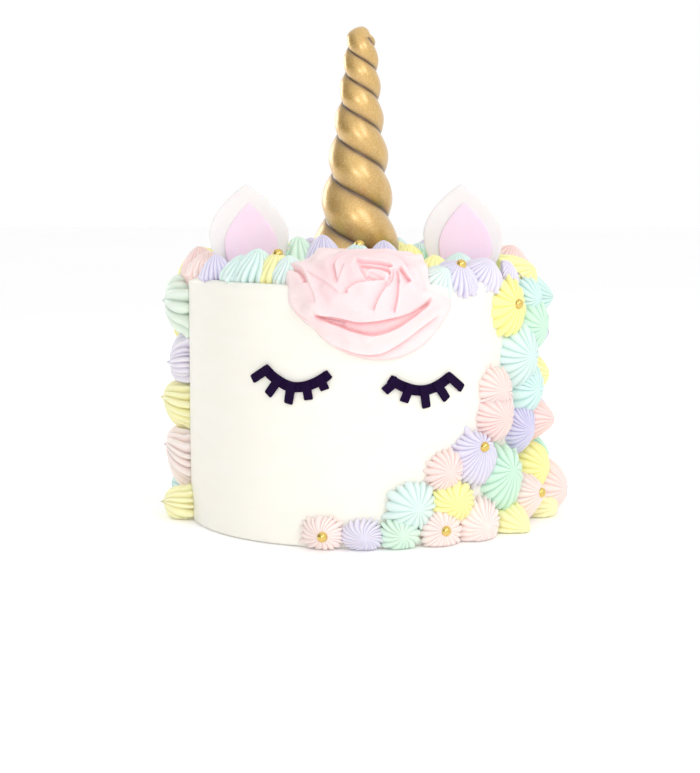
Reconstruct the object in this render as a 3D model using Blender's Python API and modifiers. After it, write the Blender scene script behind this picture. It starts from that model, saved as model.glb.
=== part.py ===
import copy
import math
import random

import bmesh
import bpy
import numpy as np

# Lengths here are in millimetres and are turned to metres where a mesh is made.
# The cake stands on z = 0 with its axis on the Z axis, and its face looks along -Y.
# An azimuth is in degrees from the front, positive towards +X.
MM = 0.001
GAP = 0.3

# Cake under the smooth white icing
BODY_RADIUS = 76.4
BODY_HEIGHT = 112.0
BODY_RIM_ROUND = 2.6
BODY_FOOT_ROUND = 0.8
BODY_SIDES = 72

# Golden horn: two tapered strands twisted round each other
HORN_LENGTH = 111.8
HORN_TIP_RADIUS = 5.4
HORN_TAPER = 0.105
HORN_FLARE = 0.00032
HORN_LOBE_OFFSET = 0.28
HORN_TURN_LENGTH = 9.0
HORN_TURN_GROWTH = 0.15
HORN_TURN_START = -18.0
HORN_LEAN = 3.0
HORN_FOOT_X = 0.3
HORN_RINGS = 34
HORN_SIDES = 16
HORN_ROOM_SIDES = 24
# how much closer the rings lie towards the tip, and how far below the tip the last one is
HORN_RING_CROWDING = 1.12
HORN_LAST_RING = 0.35

# Fondant ears, each a white leaf with a pink leaf laid on its front
EAR_HEIGHT = 41.2
EAR_HALF_WIDTH = 17.8
EAR_FOOT_HALF_WIDTH = 11.5
EAR_WIDEST = 0.46
EAR_THICKNESS = 3.2
EAR_CUP = 2.2
EAR_DEPTH_Y = -25.0
EAR_LEVELS = (0.0, 0.2, 0.4, 0.55, 0.69, 0.81, 0.92, 0.985)
EAR_COLUMNS = (-1, -0.85, -0.3, 0.3, 0.85, 1)
EAR_INNER_COLUMNS = (-1, -0.4, 0.4, 1)
EAR_TIP_HALF_WIDTH = 0.9
EAR_EDGE_THINNING = 0.45
EAR_INNER_SCALE = 0.70
EAR_INNER_THICKNESS = 1.2
EAR_INNER_HEIGHT = 0.84
EAR_INNER_FOOT = 1.0
EARS = (
    # name, x of the middle, lean of the tip along x
    ("ear_left", -46.6, -1.8),
    ("ear_right", 48.7, -1.4),
)

# Closed eyes: a curved band with five short lashes laid over it
EYE_BAND_WIDTH = 4.4
EYE_BAND_THICKNESS = 1.3
LASH_WIDTH = 4.0
LASH_THICKNESS = 0.9
# how far a lash starts inside the band, as a share of the band's width
LASH_ROOT = 0.42
EYE_BAND_STEPS = 9
EYES = (
    # name, lowest point of the band (arc, z), half span, rise of its outer and inner end, lashes as
    # (place along the band, tip arc, tip z)
    (
        "eyelash_left",
        (-25.1, 68.9),
        14.6,
        7.4,
        6.2,
        (
            (-0.94, -46.3, 71.0),
            (-0.55, -38.4, 64.9),
            (-0.13, -28.7, 61.6),
            (0.33, -19.4, 63.8),
            (0.75, -12.3, 68.2),
        ),
    ),
    (
        "eyelash_right",
        (29.0, 67.3),
        14.2,
        5.6,
        5.6,
        (
            (-0.85, 12.5, 67.4),
            (-0.42, 21.0, 62.7),
            (0.06, 31.4, 59.8),
            (0.52, 41.3, 62.7),
            (0.93, 49.4, 66.8),
        ),
    ),
)

# Pink rose piped over the front edge. Its bud is the middle of a map: across is x, and
# along runs up the face, round the edge and back over the top.
ROSE_BUD_X = 10.0
ROSE_BEND_RADIUS = 14.0
ROSE_DIRECTIONS = 32
# radius of the outline every 22.5 degrees, from +x round through the back
ROSE_OUTLINE = (27.0, 25.0, 30.5, 34.5, 37.0, 37.5, 36.5, 33.5)
ROSE_OUTLINE += (38.5, 35.5, 30.5, 28.6, 28.0, 28.4, 28.8, 30.0)
# rings from the bud outwards, as shares of the outline at the sides, down the face and to the
# back, then the height over the face and over the top
ROSE_RINGS = (
    (0.05, 0.05, 0.05, 12.6, 12.0),
    (0.16, 0.17, 0.20, 15.2, 16.0),
    (0.25, 0.23, 0.29, 13.2, 13.6),
    (0.74, 0.44, 0.56, 13.8, 16.2),
    (0.79, 0.48, 0.62, 9.6, 13.6),
    (0.86, 0.66, 0.76, 9.8, 14.2),
    (0.965, 0.87, 0.90, 8.8, 14.6),
    (0.985, 0.90, 0.94, 5.0, 10.5),
    (1.0, 0.985, 0.985, 3.4, 6.5),
    (1.0, 1.0, 1.0, 1.5, 2.5),
)
# two more rings take the rose down into the cake, where it is cut to the icing
ROSE_ROOT_RINGS = ((1.0, 1.0, 1.0, -3.0, -3.0), (0.45, 0.45, 0.45, -11.0, -11.0))
ROSE_WAVE = 0.035
# over how much of the bend the face's height turns into the top's
ROSE_BACK_BLEND = 8.0
# swirls on the top whose middle is this near the rose, besides their radius, are cut to its room
ROSE_REACH = 50.0

# Piped swirls: rings as (share of the height, share of the radius), widest just over the foot
SWIRL_RINGS = ((0.0, 0.94), (0.27, 1.0), (0.64, 0.66))
SWIRL_BACK_RINGS = ((0.0, 1.0), (0.5, 0.78))
SWIRL_CREASE = 0.15
SWIRL_LOBES = 7
SWIRL_BACK_LOBES = 4
SWIRL_MIDDLE = 0.4
SWIRL_TWIST = 0.5
# how far the tips lean to a side, and up or down
SWIRL_LEAN = 0.8
SWIRL_LEAN_LOW = -1.2
SWIRL_LEAN_HIGH = 0.2
SWIRL_SEED = 5
PEARL_RADIUS = 2.3
# where the pearl's middle sits, as a share of the swirl's height, and how far to a side
PEARL_PLACE = 0.90
PEARL_ASIDE = 0.6

# Swirls that show from the front, as name, azimuth, height on the side, radius, how far it stands
# out, colour and whether it carries a pearl
SIDE_SWIRLS = (
    ("base_swirl_1", -9.4, 6.2, 9.8, 7.0, "pink", True),
    ("base_swirl_2", 2.4, 5.4, 9.2, 7.3, "lavender", False),
    ("base_swirl_3", 14.2, 6.8, 9.6, 7.0, "mint", False),
    ("base_swirl_4", 26.6, 7.0, 11.2, 7.5, "pink", True),
    ("base_swirl_5", 41.4, 9.8, 12.6, 8.0, "pink", False),
    ("base_swirl_6", 58.0, 3.5, 11.0, 8.0, "yellow", False),
    ("base_swirl_7", 72.0, 16.0, 13.2, 12.5, "pink", True),
    ("base_swirl_8", 86.0, 8.0, 11.4, 18.5, "yellow", False),
    ("mane_swirl_01", 16.7, 21.0, 11.7, 7.5, "aqua", False),
    ("mane_swirl_02", 32.8, 20.2, 12.0, 7.5, "yellow", False),
    ("mane_swirl_03", 28.4, 34.6, 11.1, 7.0, "pink", False),
    ("mane_swirl_04", 42.0, 39.4, 12.8, 9.0, "lavender", True),
    ("mane_swirl_05", 56.0, 29.0, 15.2, 10.0, "mint", False),
    ("mane_swirl_06", 52.4, 53.2, 12.4, 8.5, "pink", False),
    ("mane_swirl_07", 52.0, 68.0, 11.8, 8.0, "pink", False),
    ("mane_swirl_08", 69.0, 48.0, 13.0, 9.5, "lavender", False),
    ("mane_swirl_09", 74.0, 64.0, 12.2, 11.0, "aqua", False),
    ("mane_swirl_10", 69.0, 77.4, 14.6, 10.5, "aqua", False),
    ("mane_swirl_11", 59.0, 99.6, 14.2, 8.5, "yellow", True),
    ("mane_swirl_12", 76.0, 93.2, 13.4, 11.5, "mint", False),
    ("mane_swirl_13", 75.0, 107.0, 10.2, 10.0, "aqua", False),
    ("mane_swirl_14", 80.0, 28.0, 12.4, 13.0, "yellow", False),
    ("mane_swirl_15", 90.0, 21.5, 14.4, 19.5, "pink", False),
    ("left_swirl_1", -82.0, 6.8, 11.0, 12.5, "yellow", False),
    ("left_swirl_2", -95.0, 25.8, 14.4, 12.3, "pink", False),
    ("left_swirl_3", -94.0, 50.0, 12.2, 13.3, "yellow", False),
    ("left_swirl_4", -93.0, 72.2, 12.2, 9.8, "lavender", False),
    ("left_swirl_5", -94.0, 97.0, 15.2, 11.8, "mint", False),
)

# Swirls on the top that show from the front: name, x, y, radius, height, colour, pearl
TOP_SWIRLS = (
    ("crown_swirl_01", -68.0, -13.0, 9.4, 8.5, "pink", False),
    ("crown_swirl_02", -60.3, -32.1, 8.6, 7.5, "lavender", False),
    ("crown_swirl_03", -54.6, -42.0, 10.0, 11.0, "aqua", False),
    ("crown_swirl_04", -46.4, -50.0, 10.0, 11.0, "aqua", False),
    ("crown_swirl_05", -35.4, -52.4, 9.6, 12.2, "yellow", True),
    ("crown_swirl_06", -30.4, -59.4, 8.8, 8.0, "aqua", False),
    ("crown_swirl_07", -25.4, -26.0, 12.4, 18.0, "mint", False),
    ("crown_swirl_08", -14.0, -29.0, 11.0, 19.0, "lavender", False),
    ("crown_swirl_09", 0.6, -30.0, 11.0, 15.5, "aqua", True),
    ("crown_swirl_10", 13.8, -29.0, 11.0, 16.5, "lavender", False),
    ("crown_swirl_11", 24.0, -23.0, 11.4, 16.0, "yellow", False),
    ("crown_swirl_12", 38.4, -34.0, 11.0, 12.0, "aqua", False),
    ("crown_swirl_13", 35.0, -45.4, 9.4, 9.6, "yellow", False),
    ("crown_swirl_14", 34.0, -60.4, 9.0, 8.0, "aqua", False),
    ("crown_swirl_15", 43.6, -57.0, 11.2, 9.0, "lavender", True),
    ("crown_swirl_16", 55.2, -42.0, 10.6, 8.0, "lavender", False),
    ("crown_swirl_17", 68.6, -25.0, 10.0, 7.5, "lavender", False),
    ("crown_swirl_18", 70.4, -10.8, 11.0, 9.0, "yellow", False),
)

# The rest of the mane is piped in rows by one rule and is one piece
MANE_ROW_HEIGHTS = (9.2, 30.6, 52.4, 74.2, 96.4)
MANE_FIRST_AZIMUTH = 80.0
MANE_LAST_AZIMUTH = 253.0
MANE_COLUMN_PITCH = 15.8
MANE_RADIUS = 12.4
MANE_HEIGHT = 11.5
MANE_TOP_RINGS = ((69.0, 20), (49.5, 15), (31.0, 9))
MANE_JITTER = 1.1
MANE_TURN_JITTER = 0.6
# the rings leave out the front of the top, where every swirl is a piece of its own
MANE_FRONT_Y = -14.0
MANE_FRONT_X = 70.0
# the icing sheet under those rows: how thick it is, how deep the swirls sink into it, and its
# outline seen from above, which leaves the face free
MANE_SHEET = 2.6
MANE_SHEET_SIDES = 28
MANE_CORE_SIDES = 36
MANE_SINK = 0.9
MANE_OUTLINE = (
    (68.0, -22.6),
    (70.0, -14.0),
    (95.0, -14.0),
    (95.0, 95.0),
    (-95.0, 95.0),
    (-95.0, 25.0),
    (-62.0, 8.0),
    (-56.0, -22.6),
)
# places that the rings miss, behind and beside the ears: x, y
MANE_FILL = ((-47.0, -12.5), (50.0, -12.5), (-29.0, -9.0), (31.5, -6.0))
MANE_SIDE_FILL = ((76.5, 66.0),)
MANE_SEED = 11
# least distance to a shown swirl, as a share of the two radii together
MANE_ROOM = 0.5

COLOURS = {
    "white": (0.965, 0.950, 0.915),
    "pink": (0.945, 0.760, 0.745),
    "yellow": (0.960, 0.925, 0.520),
    "mint": (0.560, 0.830, 0.690),
    "aqua": (0.690, 0.880, 0.860),
    "lavender": (0.730, 0.705, 0.870),
    "rose": (0.930, 0.640, 0.650),
    "gold": (0.580, 0.370, 0.100),
    "fondant_white": (0.940, 0.935, 0.915),
    "fondant_pink": (0.900, 0.690, 0.800),
    "fondant_purple": (0.024, 0.006, 0.042),
    "mixed": (0.840, 0.830, 0.850),
}


def clear_scene():
    for obj in list(bpy.data.objects):
        bpy.data.objects.remove(obj, do_unlink=True)


def new_collection(name):
    collection = bpy.data.collections.new(name)
    bpy.context.scene.collection.children.link(collection)
    return collection


def material(name, colour, roughness, metallic=0.0):
    made = bpy.data.materials.new(name)
    made.use_nodes = True
    shader = made.node_tree.nodes["Principled BSDF"]
    shader.inputs["Base Color"].default_value = (*COLOURS[colour], 1.0)
    shader.inputs["Roughness"].default_value = roughness
    shader.inputs["Metallic"].default_value = metallic
    return made


def mesh_object(name, points, faces, collection):
    mesh = bpy.data.meshes.new(name)
    mesh.from_pydata((np.asarray(points) * MM).tolist(), [], faces)
    mesh.update()
    obj = bpy.data.objects.new(name, mesh)
    collection.objects.link(obj)
    return obj


def ring_faces(rings, sides):
    """Quads between rings of the same number of points, each ring going round outwards from below."""
    return [
        (r * sides + i, r * sides + (i + 1) % sides, (r + 1) * sides + (i + 1) % sides, (r + 1) * sides + i)
        for r in range(rings - 1)
        for i in range(sides)
    ]


def fan_faces(first, sides, tip, outward):
    pairs = [(first + i, first + (i + 1) % sides) for i in range(sides)]
    return [(a, b, tip) if outward else (b, a, tip) for a, b in pairs]


def boolean(obj, operation, other=None, collection=None, solver="EXACT"):
    """Applies one Boolean to the object, so that its mesh holds the result."""
    modifier = obj.modifiers.new("join", "BOOLEAN")
    modifier.operation = operation
    modifier.solver = solver
    if collection:
        modifier.operand_type = "COLLECTION"
        modifier.collection = collection
    else:
        modifier.object = other
    graph = bpy.context.evaluated_depsgraph_get()
    made = bpy.data.meshes.new_from_object(obj.evaluated_get(graph))
    obj.modifiers.clear()
    obj.data = made


def prism(name, outline, low, high, collection):
    count = len(outline)
    points = [(x, y, z) for z in (low, high) for x, y in outline]
    faces = ring_faces(2, count)
    faces += [tuple(range(count))[::-1], tuple(range(count, 2 * count))]
    return mesh_object(name, points, faces, collection)


def keep_largest_body(obj):
    """Fills sealed hollows and drops loose scraps: of the closed shells, only the largest stays."""
    bm = bmesh.new()
    bm.from_mesh(obj.data)
    bmesh.ops.triangulate(bm, faces=bm.faces)
    left = set(bm.faces)
    shells = []
    while left:
        shell = {left.pop()}
        edge_of = list(shell)
        while edge_of:
            face = edge_of.pop()
            near = {other for edge in face.edges for other in edge.link_faces} & left
            left -= near
            shell |= near
            edge_of += near
        shells.append(shell)

    def volume(shell):
        corners = ([vertex.co for vertex in face.verts] for face in shell)
        return sum(a.dot(b.cross(c)) for a, b, c in corners) / 6

    largest = max(shells, key=volume)
    loose = [face for shell in shells if shell is not largest for face in shell]
    bmesh.ops.delete(bm, geom=loose, context="FACES")
    bm.to_mesh(obj.data)
    bm.free()


def combine(obj, operation, others, collection, solver="EXACT"):
    """Joins or cuts with all objects of a helper collection, which are then removed."""
    boolean(obj, operation, collection=collection, solver=solver)
    for other in others:
        bpy.data.objects.remove(other, do_unlink=True)
    keep_largest_body(obj)


def smooth(obj, angle=40.0):
    obj.data.shade_smooth()
    obj.data.set_sharp_from_angle(angle=math.radians(angle))


# Cake body: a turned profile with a rounded upper edge
def body_profile(grow=0.0):
    radius = BODY_RADIUS + grow
    top = BODY_HEIGHT + grow
    turns = np.radians(np.linspace(0.0, 90.0, 3))
    rim_x = radius - BODY_RIM_ROUND + BODY_RIM_ROUND * np.sin(turns)
    rim_z = top - BODY_RIM_ROUND + BODY_RIM_ROUND * np.cos(turns)
    rows = [(0.0, top)]
    rows += list(zip(rim_x, rim_z))
    rows += [(radius, BODY_FOOT_ROUND - grow), (radius - BODY_FOOT_ROUND, -grow), (0.0, -grow)]
    return rows


def turned(name, profile, collection, sides=BODY_SIDES):
    points = [(x, 0.0, z) for x, z in profile]
    edges = [(i, i + 1) for i in range(len(points) - 1)]
    mesh = bpy.data.meshes.new(name)
    mesh.from_pydata((np.array(points) * MM).tolist(), edges, [])
    obj = bpy.data.objects.new(name, mesh)
    collection.objects.link(obj)
    screw = obj.modifiers.new("turn", "SCREW")
    screw.axis = "Z"
    screw.steps = sides
    screw.render_steps = sides
    screw.use_merge_vertices = True
    screw.merge_threshold = 0.00001
    return obj


# Horn: sections of two round strands side by side, turned and narrowed towards the tip
def horn_axis_x(below_tip):
    return HORN_FOOT_X + HORN_LEAN * (1.0 - below_tip / HORN_LENGTH) ** 1.5


def horn_radius(below_tip):
    full = HORN_TIP_RADIUS + HORN_TAPER * below_tip + HORN_FLARE * below_tip**2
    into = np.clip(1.0 - below_tip / HORN_TIP_RADIUS, 0.0, 1.0)
    return full * np.sqrt(1.0 - into**2)


def horn_groove(below_tip):
    """Azimuth of the groove in degrees: half a turn for each growing turn length."""
    half_turns = np.log(1.0 + below_tip * HORN_TURN_GROWTH / HORN_TURN_LENGTH) / HORN_TURN_GROWTH
    return HORN_TURN_START + 180.0 * half_turns


def build_horn(collection, look):
    spread = np.linspace(0.0, 1.0, HORN_RINGS)
    below = HORN_LENGTH * (1.0 - spread) ** HORN_RING_CROWDING
    below[-1] = HORN_LAST_RING
    around = np.linspace(0.0, 2 * math.pi, HORN_SIDES, endpoint=False)
    points = []
    for down in below:
        outer = horn_radius(down)
        strand = outer / (1.0 + HORN_LOBE_OFFSET)
        offset = outer - strand
        # each point sits at the same place on its strand, so that the creases stay sharp
        turn = math.radians(horn_groove(down)) + math.pi / 2
        reach = offset * np.abs(np.cos(around)) + np.sqrt(strand**2 - (offset * np.sin(around)) ** 2)
        angle = around + turn
        height = BODY_HEIGHT + GAP + HORN_LENGTH - down
        for length, direction in zip(reach, angle):
            x = horn_axis_x(down) + length * math.cos(direction)
            points.append((x, length * math.sin(direction), height))
    foot = len(points)
    points.append((horn_axis_x(HORN_LENGTH), 0.0, BODY_HEIGHT + GAP))
    points.append((horn_axis_x(0.0), 0.0, BODY_HEIGHT + GAP + HORN_LENGTH))
    faces = ring_faces(HORN_RINGS, HORN_SIDES)
    faces += fan_faces(0, HORN_SIDES, foot, False)
    faces += fan_faces((HORN_RINGS - 1) * HORN_SIDES, HORN_SIDES, foot + 1, True)
    horn = mesh_object("horn", points, faces, collection)
    horn.data.materials.append(look)
    smooth(horn, 50.0)


# Ears: a leaf outline, cupped forwards at its sides and thinner at its edge
def ear_half_width(level):
    """Half width at a level from 0, the foot, to 1, the tip."""
    below = EAR_FOOT_HALF_WIDTH + (EAR_HALF_WIDTH - EAR_FOOT_HALF_WIDTH) * np.sin(
        np.clip(level / EAR_WIDEST, 0.0, 1.0) * math.pi / 2
    )
    into = np.clip((level - EAR_WIDEST) / (1.0 - EAR_WIDEST), 0.0, 1.0)
    above = EAR_HALF_WIDTH * (1.0 - into**1.75) ** 0.95
    return np.where(level < EAR_WIDEST, below, above)


def ear_leaf(name, middle_x, tip_lean, scale, front, back, columns, collection):
    """A leaf between two depths from the ear's middle surface, its outline scaled in width."""
    levels = np.array(EAR_LEVELS)
    half = np.maximum(ear_half_width(levels), EAR_TIP_HALF_WIDTH)
    inner = scale < 1.0
    foot = EAR_INNER_FOOT if inner else 0.0
    top = EAR_HEIGHT * (EAR_INNER_HEIGHT if inner else 1.0)
    rows = foot + levels * (top - foot)
    across = np.array(columns)
    thin = 1.0 - EAR_EDGE_THINNING * np.abs(across) ** 6
    middle_depth = (front + back) / 2
    half_thick = (back - front) / 2
    front_points = []
    back_points = []
    for row, wide in zip(rows, half * scale):
        lean = tip_lean * (row / EAR_HEIGHT) ** 2
        x = middle_x + lean + across * wide
        cup = -EAR_CUP * (across * wide / EAR_HALF_WIDTH) ** 2
        depth = EAR_DEPTH_Y + middle_depth + cup
        z = BODY_HEIGHT + GAP + row + 0.0 * across
        front_points += list(zip(x, depth - half_thick * thin, z))
        back_points += list(zip(x, depth + half_thick * thin, z))
    count = len(across)
    shift = len(front_points)
    faces = []
    for r in range(len(rows) - 1):
        for i in range(count - 1):
            a = r * count + i
            faces.append((a, a + 1, a + count + 1, a + count))
            faces.append((shift + a, shift + a + count, shift + a + count + 1, shift + a + 1))
        left = r * count
        right = left + count - 1
        faces.append((left, left + count, shift + left + count, shift + left))
        faces.append((right, shift + right, shift + right + count, right + count))
    last = (len(rows) - 1) * count
    for i in range(count - 1):
        faces.append((i, shift + i, shift + i + 1, i + 1))
        faces.append((last + i, last + i + 1, shift + last + i + 1, shift + last + i))
    return mesh_object(name, front_points + back_points, faces, collection)


def build_ears(collection, white, pink):
    for name, middle_x, tip_lean in EARS:
        front = -EAR_THICKNESS / 2
        back = EAR_THICKNESS / 2
        place = (middle_x, tip_lean)
        outer = ear_leaf(name + "_outer", *place, 1.0, front, back, EAR_COLUMNS, collection)
        inner_back = front - GAP
        inner_front = inner_back - EAR_INNER_THICKNESS
        inner_shape = (EAR_INNER_SCALE, inner_front, inner_back, EAR_INNER_COLUMNS)
        inner = ear_leaf(name + "_inner", *place, *inner_shape, collection)
        outer.data.materials.append(white)
        inner.data.materials.append(pink)
        smooth(outer)
        smooth(inner)


# Eyes: strips bent round the face, from the arc along it and the height on it
def on_face(arc, height, lift):
    azimuth = np.asarray(arc) / BODY_RADIUS
    reach = BODY_RADIUS + GAP + np.asarray(lift)
    height = np.asarray(height) + 0.0 * azimuth
    return np.stack([reach * np.sin(azimuth), -reach * np.cos(azimuth), height], axis=-1)


def face_strip(name, path, width, lift, thickness, collection):
    """A flat strip along a path of (arc, height), of one width, between two lifts over the face."""
    path = np.array(path, float)
    along = np.gradient(path, axis=0)
    along /= np.linalg.norm(along, axis=1)[:, None]
    side = np.stack([-along[:, 1], along[:, 0]], axis=1) * width / 2
    low, high = path - side, path + side
    corners = [
        on_face(low[:, 0], low[:, 1], lift),
        on_face(low[:, 0], low[:, 1], lift + thickness),
        on_face(high[:, 0], high[:, 1], lift + thickness),
        on_face(high[:, 0], high[:, 1], lift),
    ]
    points = np.stack(corners, axis=1).reshape(-1, 3)
    faces = ring_faces(len(path), 4)
    last = (len(path) - 1) * 4
    faces += [(3, 2, 1, 0), (last, last + 1, last + 2, last + 3)]
    return mesh_object(name, points, faces, collection)


def eye_band(lowest, half_span, outer_rise, inner_rise, places):
    """Points of the band: a shallow bowl with an end height of its own on each side."""
    places = np.asarray(places)
    rise = np.where(places < 0, outer_rise, inner_rise)
    return np.stack([lowest[0] + half_span * places, lowest[1] + rise * np.abs(places) ** 1.9], axis=-1)


def build_eyes(collection, helpers, look):
    for name, lowest, half_span, left_rise, right_rise, lashes in EYES:
        path = eye_band(lowest, half_span, left_rise, right_rise, np.linspace(-1, 1, EYE_BAND_STEPS))
        band = face_strip(name, path, EYE_BAND_WIDTH, 0.0, EYE_BAND_THICKNESS, collection)
        strips = []
        for place, tip_arc, tip_height in lashes:
            root = eye_band(lowest, half_span, left_rise, right_rise, place)
            tip = np.array((tip_arc, tip_height))
            start = root - (tip - root) / np.linalg.norm(tip - root) * EYE_BAND_WIDTH * LASH_ROOT
            run = [start, tip]
            thickness = EYE_BAND_THICKNESS + LASH_THICKNESS
            strips.append(face_strip(name + "_lash", run, LASH_WIDTH, 0.0, thickness, helpers))
        combine(band, "UNION", strips, helpers)
        band.data.materials.clear()
        band.data.materials.append(look)


# Rose: rings of petals on the map that runs over the front edge of the cake
def over_edge(x, along, lift):
    """A point over the front edge: along is 0 on the bend, negative down the face, positive over the top."""
    rim_y = -np.sqrt(BODY_RADIUS**2 - x**2)
    half_bend = ROSE_BEND_RADIUS * math.pi / 4
    slope = math.pi / 4 + np.clip(along, -half_bend, half_bend) / ROSE_BEND_RADIUS
    past = along - np.clip(along, -half_bend, half_bend)
    reach = ROSE_BEND_RADIUS + lift
    y = rim_y + ROSE_BEND_RADIUS - reach * np.cos(slope) + np.maximum(past, 0.0)
    z = BODY_HEIGHT - ROSE_BEND_RADIUS + reach * np.sin(slope) + np.minimum(past, 0.0)
    return np.stack([x, y, z], axis=-1)


def rose_outline(direction):
    turn = np.append(np.arange(len(ROSE_OUTLINE)), len(ROSE_OUTLINE)) * 2 * math.pi / len(ROSE_OUTLINE)
    return np.interp(direction % (2 * math.pi), turn, np.append(ROSE_OUTLINE, ROSE_OUTLINE[0]))


def rose_ring(at_sides, down_face, to_back, over_face, over_top, direction, grow=0.0):
    rise = np.sin(direction)
    share = at_sides + np.where(rise < 0, down_face - at_sides, to_back - at_sides) * rise**2
    wave = ROSE_WAVE * np.sin(3 * direction + 9 * at_sides) * at_sides * (1.0 - at_sides) * 4
    radius = rose_outline(direction) * (share + wave) + grow
    x = ROSE_BUD_X + radius * np.cos(direction)
    along = radius * np.sin(direction)
    back = 0.5 + 0.5 * np.tanh(along / ROSE_BACK_BLEND)
    lift = over_face + (over_top - over_face) * back + grow
    return over_edge(x, along, lift)


def rose_solid(name, grow, collection):
    direction = np.linspace(0, 2 * math.pi, ROSE_DIRECTIONS, endpoint=False)
    rings = ROSE_RINGS + ROSE_ROOT_RINGS
    points = [rose_ring(*ring, direction, grow) for ring in rings]
    centre = over_edge(np.array([ROSE_BUD_X]), np.array([0.0]), np.array([ROSE_RINGS[0][3] + grow]))
    deep = over_edge(np.array([ROSE_BUD_X]), np.array([0.0]), np.array([ROSE_ROOT_RINGS[-1][3]]))
    points = np.concatenate(points + [centre, deep])
    tip = len(rings) * ROSE_DIRECTIONS
    faces = [face[::-1] for face in ring_faces(len(rings), ROSE_DIRECTIONS)]
    faces += fan_faces(0, ROSE_DIRECTIONS, tip, True)
    faces += fan_faces((len(rings) - 1) * ROSE_DIRECTIONS, ROSE_DIRECTIONS, tip + 1, False)
    return mesh_object(name, points, faces, collection)


def build_rose(collection, bed, look):
    rose = rose_solid("rosette", 0.0, collection)
    boolean(rose, "DIFFERENCE", other=bed)
    rose.data.materials.clear()
    rose.data.materials.append(look)
    smooth(rose, 35.0)


# Swirls: fluted domes on the icing, each held to its own cell between its neighbours
class Swirl:
    def __init__(self, name, foot, outward, up, radius, height, colour, pearl, curve):
        self.name = name
        self.foot = np.array(foot)
        self.outward = np.array(outward)
        self.up = np.array(up)
        self.radius = radius
        self.height = height
        self.colour = colour
        self.pearl = pearl
        self.curve = curve
        self.lobes = SWIRL_LOBES
        self.rings = SWIRL_RINGS
        self.turn = 0.0
        self.lean = np.zeros(3)
        self.planes = []

    def middle(self):
        return self.foot + self.outward * self.height * SWIRL_MIDDLE

    def tip(self):
        return self.foot + self.outward * self.height + self.lean

    def points(self):
        side = np.cross(self.up, self.outward)
        sides = 2 * self.lobes
        around = np.linspace(0, 2 * math.pi, sides, endpoint=False)
        crease = np.where(np.arange(sides) % 2 == 0, 1.0, 1.0 - SWIRL_CREASE)
        rows = []
        for level, wide in self.rings:
            angle = around + self.turn + SWIRL_TWIST * level
            reach = self.radius * wide * crease
            across = reach * np.cos(angle)
            rise = reach * np.sin(angle)
            sink = self.curve * across**2
            row = self.foot + np.outer(across, side) + np.outer(rise, self.up)
            row += np.outer(self.height * level - sink, self.outward) + self.lean * level
            rows.append(row)
        return np.concatenate(rows + [self.tip()[None, :], self.foot[None, :]])

    def held(self):
        """The points, drawn towards the foot until they lie inside every plane of the cell."""
        points = self.points()
        run = points - self.foot
        share = np.ones(len(points))
        for place, normal in self.planes:
            towards = run @ normal
            room = (place - self.foot) @ normal
            crosses = towards > 1e-9
            limit = np.where(crosses, room / np.where(crosses, towards, 1.0), np.inf)
            share = np.minimum(share, limit)
        return self.foot + run * np.maximum(share, 0.02)[:, None]

    def grown(self, by):
        """The same swirl, larger all round, to cut its room out of something else."""
        room = copy.copy(self)
        room.radius += 2 * by
        room.height += 2 * by
        room.foot = self.foot - self.outward * by
        room.planes = [(place + normal * by, normal) for place, normal in self.planes]
        return room

    def solid(self, collection):
        sides = 2 * self.lobes
        rings = len(self.rings)
        points = self.held()
        # split into triangles the same way each time, so that a grown copy holds all of this one
        faces = [half for a, b, c, d in ring_faces(rings, sides) for half in ((a, b, c), (a, c, d))]
        faces += fan_faces((rings - 1) * sides, sides, rings * sides, True)
        faces += fan_faces(0, sides, rings * sides + 1, False)
        return mesh_object(self.name, points, faces, collection)


def side_swirl(name, azimuth, height, radius, stands_out, colour, pearl):
    turn = math.radians(azimuth)
    outward = (math.sin(turn), -math.cos(turn), 0.0)
    foot = np.array(outward) * (BODY_RADIUS + GAP) + (0.0, 0.0, height)
    curve = 0.5 / BODY_RADIUS
    return Swirl(name, foot, outward, (0.0, 0.0, 1.0), radius, stands_out, colour, pearl, curve)


def top_swirl(name, x, y, radius, height, colour, pearl):
    foot = (x, y, BODY_HEIGHT + GAP)
    return Swirl(name, foot, (0.0, 0.0, 1.0), (0.0, 1.0, 0.0), radius, height, colour, pearl, 0.0)


def shown_swirls():
    draw = random.Random(SWIRL_SEED)
    swirls = [side_swirl(*row) for row in SIDE_SWIRLS] + [top_swirl(*row) for row in TOP_SWIRLS]
    for swirl in swirls:
        swirl.turn = draw.uniform(0.0, math.pi / SWIRL_LOBES)
        aside = [draw.uniform(-SWIRL_LEAN, SWIRL_LEAN) for _ in range(2)]
        swirl.lean = np.array([*aside, draw.uniform(SWIRL_LEAN_LOW, SWIRL_LEAN_HIGH)])
    return swirls


def clear_of(swirl, others):
    return all(
        np.linalg.norm(swirl.middle() - other.middle()) > MANE_ROOM * (swirl.radius + other.radius)
        for other in others
    )


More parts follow.
